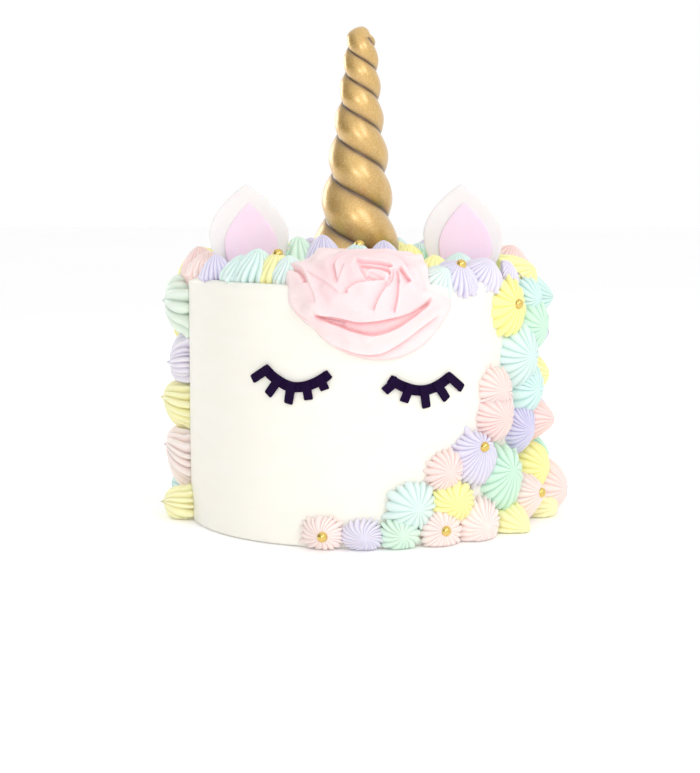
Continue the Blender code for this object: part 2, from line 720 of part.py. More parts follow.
def mane_swirls(shown):
    """Rows round the back and rings on the top, leaving out those too near a shown swirl."""
    draw = random.Random(MANE_SEED)
    made = []
    rest = ("mixed", False)
    for row, height in enumerate(MANE_ROW_HEIGHTS):
        shift = 0.5 * MANE_COLUMN_PITCH * (row % 2)
        columns = int((MANE_LAST_AZIMUTH - MANE_FIRST_AZIMUTH) / MANE_COLUMN_PITCH) + 1
        for column in range(columns):
            azimuth = MANE_FIRST_AZIMUTH + shift + column * MANE_COLUMN_PITCH
            azimuth += draw.uniform(-MANE_TURN_JITTER, MANE_TURN_JITTER)
            level = height + draw.uniform(-1, 1) * MANE_JITTER
            out = MANE_HEIGHT + draw.uniform(-1.0, 1.5)
            swirl = side_swirl("mane_back", azimuth, level, MANE_RADIUS, out, *rest)
            if azimuth < MANE_LAST_AZIMUTH and clear_of(swirl, shown):
                made.append(swirl)
    for reach, count in MANE_TOP_RINGS:
        for place in range(count):
            azimuth = math.radians(180.0 + 360.0 / count * place + draw.uniform(-2.0, 2.0))
            x = reach * math.sin(azimuth)
            y = -reach * math.cos(azimuth)
            tall = MANE_HEIGHT + draw.uniform(0.0, 3.0)
            swirl = top_swirl("mane_back", x, y, MANE_RADIUS, tall, *rest)
            if (y > MANE_FRONT_Y or abs(x) > MANE_FRONT_X) and clear_of(swirl, shown):
                made.append(swirl)
    for x, y in MANE_FILL:
        made.append(top_swirl("mane_back", x, y, MANE_RADIUS, MANE_HEIGHT, *rest))
    for azimuth, level in MANE_SIDE_FILL:
        made.append(side_swirl("mane_back", azimuth, level, MANE_RADIUS, MANE_HEIGHT, *rest))
    for swirl in made:
        swirl.lobes = SWIRL_BACK_LOBES
        swirl.rings = SWIRL_BACK_RINGS
        swirl.foot = swirl.foot + swirl.outward * MANE_SINK
        swirl.turn = draw.uniform(0.0, math.pi / SWIRL_BACK_LOBES)
    return made


def hold_apart(first, second):
    """Gives each of two swirls the plane between them, nearer to the smaller one."""
    between = second.middle() - first.middle()
    length = np.linalg.norm(between)
    if length > first.radius + second.radius + max(first.height, second.height):
        return
    normal = between / length
    share = 0.5 + (first.radius**2 - second.radius**2) / (2 * length**2)
    place = first.middle() + between * share
    first.planes.append((place - normal * GAP / 2, normal))
    second.planes.append((place + normal * GAP / 2, -normal))


def keep_off_fixed_pieces(swirl):
    """Planes that hold a swirl off the floor, the horn, the ears and, over the top, the rose."""
    swirl.planes.append((np.zeros(3), np.array([0.0, 0.0, -1.0])))
    if swirl.outward[2] < 0.5:
        return
    horn_foot = np.array([horn_axis_x(HORN_LENGTH), 0.0, 0.0])
    towards = horn_foot - swirl.foot * (1.0, 1.0, 0.0)
    away = np.linalg.norm(towards)
    if away < horn_radius(HORN_LENGTH) + 2 * swirl.radius:
        towards /= away
        place = horn_foot - towards * (horn_radius(HORN_LENGTH) + GAP)
        swirl.planes.append((place, towards))
    for _, middle_x, _ in EARS:
        if np.linalg.norm(swirl.foot[:2] - (middle_x, EAR_DEPTH_Y)) > EAR_HALF_WIDTH + swirl.radius:
            continue
        beside = math.copysign(1.0, middle_x - swirl.foot[0])
        edge_x = middle_x - beside * (EAR_HALF_WIDTH + GAP)
        front_y = EAR_DEPTH_Y - EAR_THICKNESS / 2 - EAR_INNER_THICKNESS - 2 * GAP - EAR_CUP
        back_y = EAR_DEPTH_Y + EAR_THICKNESS / 2 + GAP
        choices = [
            (np.array([edge_x, 0.0, 0.0]), np.array([beside, 0.0, 0.0])),
            (np.array([0.0, front_y, 0.0]), np.array([0.0, 1.0, 0.0])),
            (np.array([0.0, back_y, 0.0]), np.array([0.0, -1.0, 0.0])),
        ]
        # of the planes beside, before and behind the ear, the one that leaves the swirl most room
        swirl.planes.append(max(choices, key=lambda plane: (plane[0] - swirl.foot) @ plane[1]))


def rose_reaches(swirl):
    off_bud = swirl.middle() - (ROSE_BUD_X, -BODY_RADIUS, BODY_HEIGHT)
    return np.linalg.norm(off_bud) < ROSE_REACH + swirl.radius and swirl.outward[2] > 0.5


def add_pearl(swirl, obj, helpers):
    towards = swirl.tip() - swirl.foot
    place = swirl.foot + towards * PEARL_PLACE + np.cross(swirl.up, swirl.outward) * PEARL_ASIDE
    place = tuple(place * MM)
    bpy.ops.mesh.primitive_ico_sphere_add(subdivisions=1, radius=PEARL_RADIUS * MM, location=place)
    pearl = bpy.context.object
    for owner in list(pearl.users_collection):
        owner.objects.unlink(pearl)
    helpers.objects.link(pearl)
    combine(obj, "UNION", [pearl], helpers)


def build_mane_sheet(collection, helpers, shown):
    """Icing over the back and the top, cut round the horn and round each swirl that is a piece of its own."""
    sheet = turned("mane_back", body_profile(MANE_SHEET), collection, MANE_SHEET_SIDES)
    block = prism("mane_block", MANE_OUTLINE, 0.0, BODY_HEIGHT + 2 * MANE_SHEET, helpers)
    combine(sheet, "INTERSECT", [block], helpers, solver="MANIFOLD")
    # a core of fewer sides than the body, so its flats are what just clears it
    spare = (BODY_RADIUS + GAP) / math.cos(math.pi / MANE_CORE_SIDES) - BODY_RADIUS
    core_profile = [(x, min(z, BODY_HEIGHT + GAP)) for x, z in body_profile(spare)]
    core = turned("mane_core", core_profile, helpers, MANE_CORE_SIDES)
    combine(sheet, "DIFFERENCE", [core], helpers, solver="MANIFOLD")
    turns = np.linspace(0.0, 2 * math.pi, HORN_ROOM_SIDES, endpoint=False)
    clear = (horn_radius(HORN_LENGTH) + 2 * GAP) / math.cos(math.pi / HORN_ROOM_SIDES)
    horn_x = horn_axis_x(HORN_LENGTH)
    circle = [(horn_x + clear * math.cos(turn), clear * math.sin(turn)) for turn in turns]
    rooms = [prism("horn_room", circle, BODY_HEIGHT - GAP, BODY_HEIGHT + 2 * MANE_SHEET, helpers)]
    rooms += [swirl.grown(GAP).solid(helpers) for swirl in shown]
    combine(sheet, "DIFFERENCE", rooms, helpers, solver="MANIFOLD")
    return sheet


def build_swirls(collection, helpers, rose_cutter, looks):
    shown = shown_swirls()
    mane = mane_swirls(shown)
    swirls = shown + mane
    for i, first in enumerate(swirls):
        for second in swirls[i + 1 :]:
            hold_apart(first, second)
    for swirl in swirls:
        keep_off_fixed_pieces(swirl)
    for swirl in shown:
        obj = swirl.solid(collection)
        if rose_reaches(swirl):
            boolean(obj, "DIFFERENCE", other=rose_cutter)
        if swirl.pearl:
            add_pearl(swirl, obj, helpers)
        obj.data.materials.clear()
        obj.data.materials.append(looks[swirl.colour])
        smooth(obj, 30.0)
    back = build_mane_sheet(collection, helpers, shown)
    combine(back, "UNION", [swirl.solid(helpers) for swirl in mane], helpers, solver="MANIFOLD")
    back.data.materials.clear()
    back.data.materials.append(looks["mixed"])
    smooth(back, 30.0)


def main():
    clear_scene()
    parts = new_collection("unicorn_cake")
    helpers = new_collection("cutters")
    lashes = new_collection("lashes")
    joining = new_collection("joining")
    for hidden in (helpers, lashes, joining):
        hidden.hide_render = True
    tints = ("pink", "yellow", "mint", "aqua", "lavender", "mixed")
    looks = {name: material("buttercream_" + name, name, 0.5) for name in tints}
    body = turned("cake_body", body_profile(), parts)
    body.data.materials.append(material("buttercream_white", "white", 0.5))
    bed = turned("icing_bed", body_profile(GAP), helpers)
    bed.hide_render = True
    bed.display_type = "WIRE"
    build_horn(parts, material("gold_fondant", "gold", 0.32, 1.0))
    pink = material("pink_fondant", "fondant_pink", 0.55)
    build_ears(parts, material("white_fondant", "fondant_white", 0.55), pink)
    build_eyes(parts, lashes, material("purple_fondant", "fondant_purple", 0.4))
    build_rose(parts, bed, material("rose_buttercream", "rose", 0.5))
    cutter = rose_solid("rose_room", GAP + 0.1, helpers)
    cutter.hide_render = True
    cutter.display_type = "WIRE"
    build_swirls(parts, joining, cutter, looks)


main()
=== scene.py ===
import math
import random

import bpy
import numpy as np
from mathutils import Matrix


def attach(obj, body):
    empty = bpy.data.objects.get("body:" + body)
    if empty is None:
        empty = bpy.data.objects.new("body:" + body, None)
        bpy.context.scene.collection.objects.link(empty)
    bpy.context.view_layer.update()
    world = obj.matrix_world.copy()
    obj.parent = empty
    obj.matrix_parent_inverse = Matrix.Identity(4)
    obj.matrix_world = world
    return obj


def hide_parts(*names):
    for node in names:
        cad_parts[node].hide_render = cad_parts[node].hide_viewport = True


# Lengths are in millimetres until a mesh is made. The cake stands on z = 0 and looks along -Y.
# An azimuth is in degrees from the front, positive towards +X.
mm = 0.001
bodyRadius = 76.4
bodyHeight = 112.0
restGap = 0.3  # what lies on the icing starts this far off it, as the solids do

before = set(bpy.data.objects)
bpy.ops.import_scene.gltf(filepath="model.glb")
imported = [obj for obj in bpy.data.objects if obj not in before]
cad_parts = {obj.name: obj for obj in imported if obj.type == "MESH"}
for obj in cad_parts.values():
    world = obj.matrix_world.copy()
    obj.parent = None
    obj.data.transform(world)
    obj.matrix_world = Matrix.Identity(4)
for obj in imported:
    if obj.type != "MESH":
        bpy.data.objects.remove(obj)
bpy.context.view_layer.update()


# Curves and grids

# smooth curve through rows of points: each span is a cubic with the slope of its neighbours
def through(rows, samples):
    rows = np.asarray(rows, float)
    padded = np.concatenate([2 * rows[:1] - rows[1:2], rows, 2 * rows[-1:] - rows[-2:-1]])
    place = np.linspace(0.0, len(rows) - 1.000001, samples)
    span = place.astype(int)
    t = (place - span)[:, None]
    before, start, end, after = (padded[span + k] for k in range(4))
    return 0.5 * (
        2 * start
        + (end - before) * t
        + (2 * before - 5 * start + 4 * end - after) * t**2
        + (3 * start - before - 3 * end + after) * t**3
    )


# unevenness from -1 to 1: the mean of plane waves of about one wavelength in random directions
def ripple(points, wavelength, seed, waves=6):
    draw = np.random.default_rng(seed)
    ways = draw.normal(size=(waves, 3))
    ways *= 2 * math.pi / wavelength / np.linalg.norm(ways, axis=1)[:, None]
    phases = draw.uniform(0.0, 2 * math.pi, waves)
    return np.sin(points @ ways.T + phases).mean(axis=-1) * 1.6


# the four corners of each cell of a grid, whose last column may join its first
def gridQuads(rows, columns, closed):
    around = np.arange(columns if closed else columns - 1)
    onward = (around + 1) % columns
    base = (np.arange(rows - 1) * columns)[:, None]
    corners = [base + around, base + onward, base + columns + onward, base + columns + around]
    return np.stack(corners, axis=-1).reshape(-1, 4)


# a fan from one row of a closed grid to a single point
def fanTriangles(first, columns, tip, outward):
    around = first + np.arange(columns)
    onward = first + (np.arange(columns) + 1) % columns
    ends = (around, onward) if outward else (onward, around)
    return np.stack([*ends, np.full(columns, tip)], axis=-1)


# one shell from a grid of points (rows, columns, 3), with a fan to a point at either end
def gridShell(grid, closed=True, firstTip=None, lastTip=None, flip=False, **values):
    rows, columns = grid.shape[:2]
    points = [grid.reshape(-1, 3)]
    triangles = []
    for tip, first, outward in ((firstTip, 0, False), (lastTip, (rows - 1) * columns, True)):
        if tip is not None:
            triangles.append(fanTriangles(first, columns, sum(len(p) for p in points), outward))
            points.append(np.asarray(tip, float)[None, :])
    shell = {"points": np.concatenate(points), "quads": gridQuads(rows, columns, closed)}
    if triangles:
        shell["triangles"] = np.concatenate(triangles)
    if flip:
        shell["quads"] = shell["quads"][:, ::-1]
        if triangles:
            shell["triangles"] = shell["triangles"][:, ::-1]
    extra = len(shell["points"]) - rows * columns
    for name, value in values.items():
        flat = np.broadcast_to(value, (rows, columns)).reshape(-1)
        shell[name] = np.concatenate([flat, np.full(extra, flat[-1])])
    return shell


# one object from its shells, with their values as attributes, in place of the nodes named
def makePiece(name, shells, look, nodes, values=()):
    corners = []
    sizes = []
    shift = 0
    for shell in shells:
        for kind in ("quads", "triangles"):
            if kind in shell:
                corners.append((shell[kind] + shift).ravel())
                sizes.append(np.full(len(shell[kind]), shell[kind].shape[1]))
        shift += len(shell["points"])
    points = np.concatenate([shell["points"] for shell in shells]) * mm
    corners = np.concatenate(corners)
    sizes = np.concatenate(sizes)
    mesh = bpy.data.meshes.new(name)
    mesh.vertices.add(len(points))
    mesh.vertices.foreach_set("co", points.ravel())
    mesh.loops.add(len(corners))
    mesh.loops.foreach_set("vertex_index", corners.astype(np.int32))
    mesh.polygons.add(len(sizes))
    mesh.polygons.foreach_set("loop_start", np.concatenate([[0], np.cumsum(sizes)[:-1]]).astype(np.int32))
    mesh.update(calc_edges=True)
    mesh.polygons.foreach_set("use_smooth", np.ones(len(sizes), bool))
    for value in values:
        flat = np.concatenate([shell[value] for shell in shells])
        mesh.attributes.new(value, "FLOAT", "POINT").data.foreach_set("value", flat)
    mesh.materials.append(look)
    piece = bpy.data.objects.new(name, mesh)
    bpy.context.scene.collection.objects.link(piece)
    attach(piece, "root")
    if nodes:
        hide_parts(*nodes)
    print("made", name, int((sizes - 2).sum()), "triangles")
    return piece


# Materials

# sRGB hex to linear
def linear(hexColour):
    parts = [int(hexColour[i : i + 2], 16) / 255 for i in (1, 3, 5)]
    return tuple(p / 12.92 if p <= 0.04045 else ((p + 0.055) / 1.055) ** 2.4 for p in parts) + (1.0,)


# a node with its settings; an input that is a socket is linked, any other is set
def addNode(tree, kind, inputs=None, **settings):
    node = tree.nodes.new(kind)
    for key, value in settings.items():
        setattr(node, key, value)
    for key, value in (inputs or {}).items():
        if isinstance(value, bpy.types.NodeSocket):
            tree.links.new(value, node.inputs[key])
        else:
            node.inputs[key].default_value = value
    return node


# settings of a mix of colours, whose inputs are 0 for the share, 6 for the first and 7 for the second
colourMix = {"data_type": "RGBA", "clamp_factor": True}


def newMaterial(name, **constants):
    look = bpy.data.materials.new(name)
    look.use_nodes = True
    tree = look.node_tree
    shader = tree.nodes["Principled BSDF"]
    for key, value in constants.items():
        shader.inputs[key.replace("_", " ")].default_value = value
    place = addNode(tree, "ShaderNodeTexCoord").outputs["Object"]
    return look, tree, shader, place


# buttercream: soft and a little translucent, with fine air bubbles; lit is its colour in the light, and deep
# is a painted shade colour mixed into its creases and hollows
def buttercream(name, lit, deep, grain=0.10):
    look, tree, shader, place = newMaterial(
        name, Roughness=0.46, Subsurface_Weight=0.25, Subsurface_Scale=0.004, Specular_IOR_Level=0.35
    )
    shader.inputs["Subsurface Radius"].default_value = (1.0, 0.7, 0.55)
    cavity = addNode(tree, "ShaderNodeAttribute", attribute_name="cavity").outputs["Fac"]
    tint = addNode(tree, "ShaderNodeAttribute", attribute_name="tint").outputs["Fac"]
    # painted shade: the deep colour goes where the crease mask marks creases, hollows and the ground under
    # rims
    tone = {0: cavity, 6: linear(lit), 7: linear(deep)}
    tone = addNode(tree, "ShaderNodeMix", tone, **colourMix).outputs[2]
    # tint makes it paler: a random tone, and on the left column painted light
    tone = {0: tint, 6: tone, 7: linear("#FFF9F4")}
    tone = addNode(tree, "ShaderNodeMix", tone, **colourMix).outputs[2]
    tree.links.new(tone, shader.inputs["Base Color"])
    bubbles = {"Vector": place, "Scale": 1 / (0.9 * mm), "Detail": 4.0}
    bubbles = addNode(tree, "ShaderNodeTexNoise", bubbles).outputs["Fac"]
    bump = addNode(tree, "ShaderNodeBump", {"Height": bubbles, "Strength": grain, "Distance": 0.4 * mm})
    tree.links.new(bump.outputs["Normal"], shader.inputs["Normal"])
    return look


# smoothed buttercream: nearly flat, with faint marks of the scraper running round the cake
def smoothedIcing():
    look, tree, shader, place = newMaterial(
        "smoothed white buttercream",
        Roughness=0.5,
        Subsurface_Weight=0.2,
        Subsurface_Scale=0.004,
        Specular_IOR_Level=0.3,
    )
    shader.inputs["Subsurface Radius"].default_value = (1.0, 0.8, 0.6)
    # a mark is 24 mm along the scraper's way and a fifth of that in height
    stretched = addNode(tree, "ShaderNodeMapping", {"Vector": place, "Scale": (1.0, 1.0, 5.0)})
    marks = {"Vector": stretched.outputs["Vector"], "Scale": 1 / (24.0 * mm), "Detail": 3.0}
    marks = addNode(tree, "ShaderNodeTexNoise", marks).outputs["Fac"]
    tone = {0: marks, 6: linear("#FBF8F0"), 7: linear("#F8F4E8")}
    tone = addNode(tree, "ShaderNodeMix", tone, **colourMix).outputs[2]
    tree.links.new(tone, shader.inputs["Base Color"])
    bubbles = {"Vector": place, "Scale": 1 / (1.4 * mm), "Detail": 5.0}
    bubbles = addNode(tree, "ShaderNodeTexNoise", bubbles).outputs["Fac"]
    bump = addNode(tree, "ShaderNodeBump", {"Height": bubbles, "Strength": 0.05, "Distance": 0.3 * mm})
    bump = {"Height": marks, "Strength": 0.12, "Distance": 1.2 * mm, "Normal": bump.outputs["Normal"]}
    bump = addNode(tree, "ShaderNodeBump", bump)
    tree.links.new(bump.outputs["Normal"], shader.inputs["Normal"])
    return look


# sugar paste brushed with gold lustre dust: a satin metal with a fine grain of brighter flakes, and
# dark brown painted shade in the creases. Real flakes are finer: they are drawn 0.55 mm apart so that they
# show.
def goldDustedPaste():
    look, tree, shader, place = newMaterial(
        "gold dusted sugar paste",
        Roughness=0.4,
        Metallic=0.85,
        Coat_Weight=1.0,
        Coat_Roughness=0.32,
        Coat_IOR=2.05,
    )
    cavity = addNode(tree, "ShaderNodeAttribute", attribute_name="cavity").outputs["Fac"]
    patches = {"Vector": place, "Scale": 1 / (9.0 * mm), "Detail": 3.0}
    patches = addNode(tree, "ShaderNodeTexNoise", patches).outputs["Fac"]
    flakes = {"Vector": place, "Scale": 1 / (0.55 * mm), "Detail": 3.0}
    flakes = addNode(tree, "ShaderNodeTexNoise", flakes).outputs["Fac"]
    bright = {"Value": flakes, "From Min": 0.48, "From Max": 0.62, "To Min": 0.0, "To Max": 0.4}
    bright = addNode(tree, "ShaderNodeMapRange", bright).outputs["Result"]
    dust = {0: patches, 6: linear("#C6942F"), 7: linear("#DDB14E")}
    dust = addNode(tree, "ShaderNodeMix", dust, **colourMix).outputs[2]
    dust = addNode(tree, "ShaderNodeMix", {0: bright, 6: dust, 7: linear("#F6E0A2")}, **colourMix).outputs[2]
    # painted shade: dark brown in the crease between the strands
    dust = addNode(tree, "ShaderNodeMix", {0: cavity, 6: dust, 7: linear("#4E2C08")}, **colourMix).outputs[2]
    tree.links.new(dust, shader.inputs["Base Color"])
    rough = {"Value": flakes, "From Min": 0.3, "From Max": 0.7, "To Min": 0.34, "To Max": 0.54}
    rough = addNode(tree, "ShaderNodeMapRange", rough).outputs["Result"]
    tree.links.new(rough, shader.inputs["Roughness"])
    bump = addNode(tree, "ShaderNodeBump", {"Height": flakes, "Strength": 0.2, "Distance": 0.2 * mm})
    tree.links.new(bump.outputs["Normal"], shader.inputs["Normal"])
    return look


# plain sugar paste: smooth and matt, with a faint sugar grain
def sugarPaste(name, colour, other, roughness, translucency=0.15, gloss=0.3):
    look, tree, shader, place = newMaterial(
        name,
        Roughness=roughness,
        Subsurface_Weight=translucency,
        Subsurface_Scale=0.003,
        Specular_IOR_Level=gloss,
    )
    patches = {"Vector": place, "Scale": 1 / (7.0 * mm), "Detail": 2.0}
    patches = addNode(tree, "ShaderNodeTexNoise", patches).outputs["Fac"]
    tone = {0: patches, 6: linear(colour), 7: linear(other)}
    tone = addNode(tree, "ShaderNodeMix", tone, **colourMix).outputs[2]
    tree.links.new(tone, shader.inputs["Base Color"])
    grain = {"Vector": place, "Scale": 1 / (0.6 * mm), "Detail": 3.0}
    grain = addNode(tree, "ShaderNodeTexNoise", grain).outputs["Fac"]
    bump = addNode(tree, "ShaderNodeBump", {"Height": grain, "Strength": 0.08, "Distance": 0.2 * mm})
    tree.links.new(bump.outputs["Normal"], shader.inputs["Normal"])
    return look


# sugar pearls with a coat of polished gold: small mirrors with slight patches of tone
def goldPearl():
    look, tree, shader, place = newMaterial("gold coated sugar pearl", Roughness=0.14, Metallic=1.0)
    patches = {"Vector": place, "Scale": 1 / (1.5 * mm), "Detail": 2.0}
    patches = addNode(tree, "ShaderNodeTexNoise", patches).outputs["Fac"]
    tone = {0: patches, 6: linear("#DDB958"), 7: linear("#EED58A")}
    tone = addNode(tree, "ShaderNodeMix", tone, **colourMix).outputs[2]
    tree.links.new(tone, shader.inputs["Base Color"])
    return look


# each buttercream: its colour in the light, then its painted shade colour for creases and hollows
looks = {
    "pink": buttercream("pink buttercream", "#FCDFDA", "#F2B8B0"),
    "yellow": buttercream("yellow buttercream", "#FDFAA8", "#F0E468"),
    "mint": buttercream("mint buttercream", "#C8F3D9", "#82C9A3"),
    "aqua": buttercream("aqua buttercream", "#D9F2ED", "#9CD3CB"),
    "lavender": buttercream("lavender buttercream", "#DEDAF1", "#A9A3DB"),
    "rose": buttercream("rose pink buttercream", "#FDE0E2", "#F5B2B7", 0.05),
    "mixed": buttercream("mixed pastel buttercream", "#F2E9EE", "#CFC3D6"),
}


# Cake body: a turned profile with a soft upper edge, a little uneven all over
bodyShape = {
    "rimRound": 2.6,
    "footRound": 0.8,
    "unevenness": 0.22,
    "longWave": 55.0,
    "shortWave": 18.0,
    "columns": 320,
}


# level top, quarter circle at the rim, straight side and a small bevel at the foot, turned round z
def buildBody():
    turns = np.radians(np.linspace(0.0, 90.0, 9))
    rim = bodyShape["rimRound"]
    foot = bodyShape["footRound"]
    across = np.concatenate([
        np.linspace(1.0, bodyRadius - rim, 24, endpoint=False),
        bodyRadius - rim + rim * np.sin(turns),
        np.full(46, bodyRadius),
        [bodyRadius, bodyRadius - 0.3 * foot, bodyRadius - foot, 1.0],
    ])
    height = np.concatenate([
        np.full(24, bodyHeight),
        bodyHeight - rim + rim * np.cos(turns),
        np.linspace(bodyHeight - rim, foot, 48)[1:-1],
        [foot, 0.3 * foot, 0.0, 0.0],
    ])
    turn = np.linspace(0.0, 2 * math.pi, bodyShape["columns"], endpoint=False)
    grid = np.stack([
        across[:, None] * np.cos(turn),
        across[:, None] * np.sin(turn),
        np.repeat(height[:, None], len(turn), axis=1),
    ], axis=-1)
    wave = ripple(grid * (1.0, 1.0, 0.6), bodyShape["longWave"], 3)
    wave += 0.4 * ripple(grid, bodyShape["shortWave"], 4)
    held = np.minimum(1.0, height / 6.0)[:, None]  # the foot stays round
    grid[..., :2] *= (1.0 + bodyShape["unevenness"] * wave * held / bodyRadius)[..., None]
    shell = gridShell(grid, firstTip=(0.0, 0.0, bodyHeight), lastTip=(0.0, 0.0, 0.0), flip=True)
    makePiece("smoothIcing", [shell], smoothedIcing(), ["cake_body"])


buildBody()


# Horn: two strands side by side, turned round each other and narrowed towards the tip
hornShape = {
    "length": 111.8,
    "tipRadius": 6.1,
    "taper": 0.114,
    "flare": 0.00024,
    "lobeOffset": 0.21,
    "turnLength": 9.0,
    "turnGrowth": 0.15,
    "lean": 3.0,
    "footX": 0.3,
    "phase": 11.0,
    "tipRound": 0.95,
    "secondTip": 2.8,
    "creaseWidth": 0.075,
    "creaseDepth": 0.45,
    "creaseStart": 5.0,
    "swell": (0.22, 0.10),
    "rings": 380,
    "columns": 120,
}


# the axis leans to the right: foot + lean x (share of the height)^0.9
def hornAxisX(below):
    return hornShape["footX"] + hornShape["lean"] * (1.0 - below / hornShape["length"]) ** 0.9


# tip radius + taper x depth + flare x depth^2, with the depth taken from the tip
def hornRadius(below):
    return hornShape["tipRadius"] + hornShape["taper"] * below + hornShape["flare"] * below**2


# reach of a section in a direction: the farther of two circles, each set off the axis by its offset.
# Half turns down to a depth: ln(1 + depth x growth / first length) / growth.
def buildHorn():
    below = hornShape["length"] * (1.0 - np.linspace(0.0, 1.0, hornShape["rings"])) ** 1.25
    below[-1] = 0.02
    around = np.linspace(0.0, 2 * math.pi, hornShape["columns"], endpoint=False)[None, :]
    down = below[:, None]
    strand = hornRadius(down) / (1.0 + hornShape["lobeOffset"])
    offset = hornRadius(down) - strand
    growth = hornShape["turnGrowth"]
    halfTurns = np.log(1.0 + down * growth / hornShape["turnLength"]) / growth
    turn = np.radians(hornShape["phase"] + 180.0 * halfTurns) + math.pi / 2

    # each strand ends in its own round tip, the second one a little lower
    def strandReach(side, start):
        into = np.clip(1.0 - (down - start) / (hornShape["tipRound"] * strand), 0.0, 1.0)
        wide = strand * np.sqrt(np.maximum(1.0 - into**2, 0.0)) * (down > start)
        aside = side * offset
        inside = wide**2 - (aside * np.sin(around)) ** 2
        return np.where(inside > 0, aside * np.cos(around) + np.sqrt(np.maximum(inside, 0.0)), 0.0)

    first = strandReach(1.0, 0.0)
    second = strandReach(-1.0, hornShape["secondTip"])
    reach = np.maximum(np.maximum(first, second), 0.05)
    crease = np.exp(-np.abs(first - second) / (hornShape["creaseWidth"] * strand))
    crease = crease * (down > hornShape["creaseStart"])
    reach = reach - hornShape["creaseDepth"] * crease
    angle = around + turn
    height = bodyHeight + hornShape["length"] + restGap - down
    grid = np.stack([
        hornAxisX(down) + reach * np.cos(angle),
        reach * np.sin(angle),
        height + 0.0 * around,
    ], axis=-1)
    longSwell, shortSwell = hornShape["swell"]
    swell = longSwell * ripple(grid, 26.0, 7) + shortSwell * ripple(grid, 7.0, 8)
    grid[..., :2] += swell[..., None] * np.stack([np.cos(angle), np.sin(angle)], axis=-1)
    tip = (hornAxisX(0.0) + 0.4, 0.0, bodyHeight + hornShape["length"] + restGap)
    foot = (hornAxisX(hornShape["length"]), 0.0, bodyHeight + restGap)
    # painted shade: the crease between the strands is marked for the brown shade colour
    shell = gridShell(grid, firstTip=foot, lastTip=tip, cavity=np.clip(1.25 * crease, 0.0, 1.0))
    makePiece("goldHorn", [shell], goldDustedPaste(), ["horn"], ["cavity"])


buildHorn()


# Ears: leaves of sugar paste with a rounded edge, cupped forwards at the sides
earShape = {
    "height": 41.2,
    "halfWidth": 17.8,
    "footHalfWidth": 11.5,
    "widest": 0.46,
    "thickness": 3.2,
    "cup": 2.2,
    "depthY": -25.0,
    "innerScale": 0.73,
    "innerHeight": 0.80,
    "innerNarrowing": 0.22,
    "innerThickness": 1.3,
    "innerOverlap": 0.4,
    "innerShift": 0.8,
    "innerFoot": 1.0,
    "levels": 72,
    "columns": 64,
}
# end of the piece's name, side in the node's name, middle in x, lean of the tip, seed
ears = (("Left", "left", -46.6, -1.8, 21), ("Right", "right", 48.7, -1.4, 22))


# half width: a sine up to the widest level, then a falling power curve to the tip
def earHalfWidth(level):
    wide = earShape["halfWidth"]
    narrow = earShape["footHalfWidth"]
    widest = earShape["widest"]
    below = narrow + (wide - narrow) * np.sin(np.clip(level / widest, 0.0, 1.0) * math.pi / 2)
    into = np.clip((level - widest) / (1.0 - widest), 0.0, 1.0)
    return np.where(level < widest, below, wide * (1.0 - into**1.75) ** 0.95)


# each section is a rounded box: sign x |cosine|^power across and |sine|^power in depth
def earLeaf(middleX, lean, scale, foot, top, front, back, seed):
    spread = 1.0 - (1.0 - np.linspace(0.0, 1.0, earShape["levels"])) ** 1.35
    level = np.clip(spread, 0.0, 0.997)[:, None]
    half = earHalfWidth(level) * scale * (1.0 - (earShape["innerNarrowing"] * level if scale < 1.0 else 0.0))
    turn = np.linspace(0.0, 2 * math.pi, earShape["columns"], endpoint=False)[None, :]
    across = np.sign(np.cos(turn)) * np.abs(np.cos(turn)) ** 0.8 * half
    thick = (back - front) / 2 * np.minimum(1.0, np.sqrt(np.maximum(half, 0.05) / 4.0))
    deep = np.sign(np.sin(turn)) * np.abs(np.sin(turn)) ** 0.55 * thick
    rise = foot + level * (top - foot) + 0.0 * turn
    leaned = lean * (rise / earShape["height"]) ** 2
    cup = -earShape["cup"] * (across / earShape["halfWidth"]) ** 2
    grid = np.stack([
        middleX + leaned + across,
        earShape["depthY"] + (front + back) / 2 + cup + deep,
        bodyHeight + restGap + rise,
    ], axis=-1)
    wave = ripple(grid, 30.0, seed)
    grid[..., 0] += 0.25 * wave * np.sign(across)
    grid[..., 1] += 0.25 * ripple(grid, 22.0, seed + 5)
    top = grid[-1].mean(axis=0) + (0.0, 0.0, 0.15)
    return gridShell(grid, firstTip=grid[0].mean(axis=0), lastTip=top)


def buildEars():
    white = sugarPaste("white sugar paste", "#F1EDEC", "#ECE8E7", 0.5)
    pink = sugarPaste("pink sugar paste", "#FAE0EF", "#F7D8E9", 0.5)
    half = earShape["thickness"] / 2
    height = earShape["height"]
    for label, side, middleX, lean, seed in ears:
        outer = earLeaf(middleX, lean, 1.0, 0.0, height, -half, half, seed)
        makePiece("ear" + label, [outer], white, [f"ear_{side}_outer"])
        top = height * earShape["innerHeight"]
        low = -half - earShape["innerThickness"]
        foot = earShape["innerFoot"]
        back = -half + earShape["innerOverlap"]
        middleX += earShape["innerShift"]
        inner = earLeaf(middleX, lean, earShape["innerScale"], foot, top, low, back, seed + 2)
        makePiece("earInner" + label, [inner], pink, [f"ear_{side}_inner"])


buildEars()


# Closed eyes: a curved band on the face with five short strips laid over it
eyeShape = {
    "bandWidth": 4.4,
    "bandThickness": 1.3,
    "stripWidth": 3.9,
    "stripThickness": 0.9,
    "sunk": 0.2,
    "rows": 48,
    "columns": 40,
}
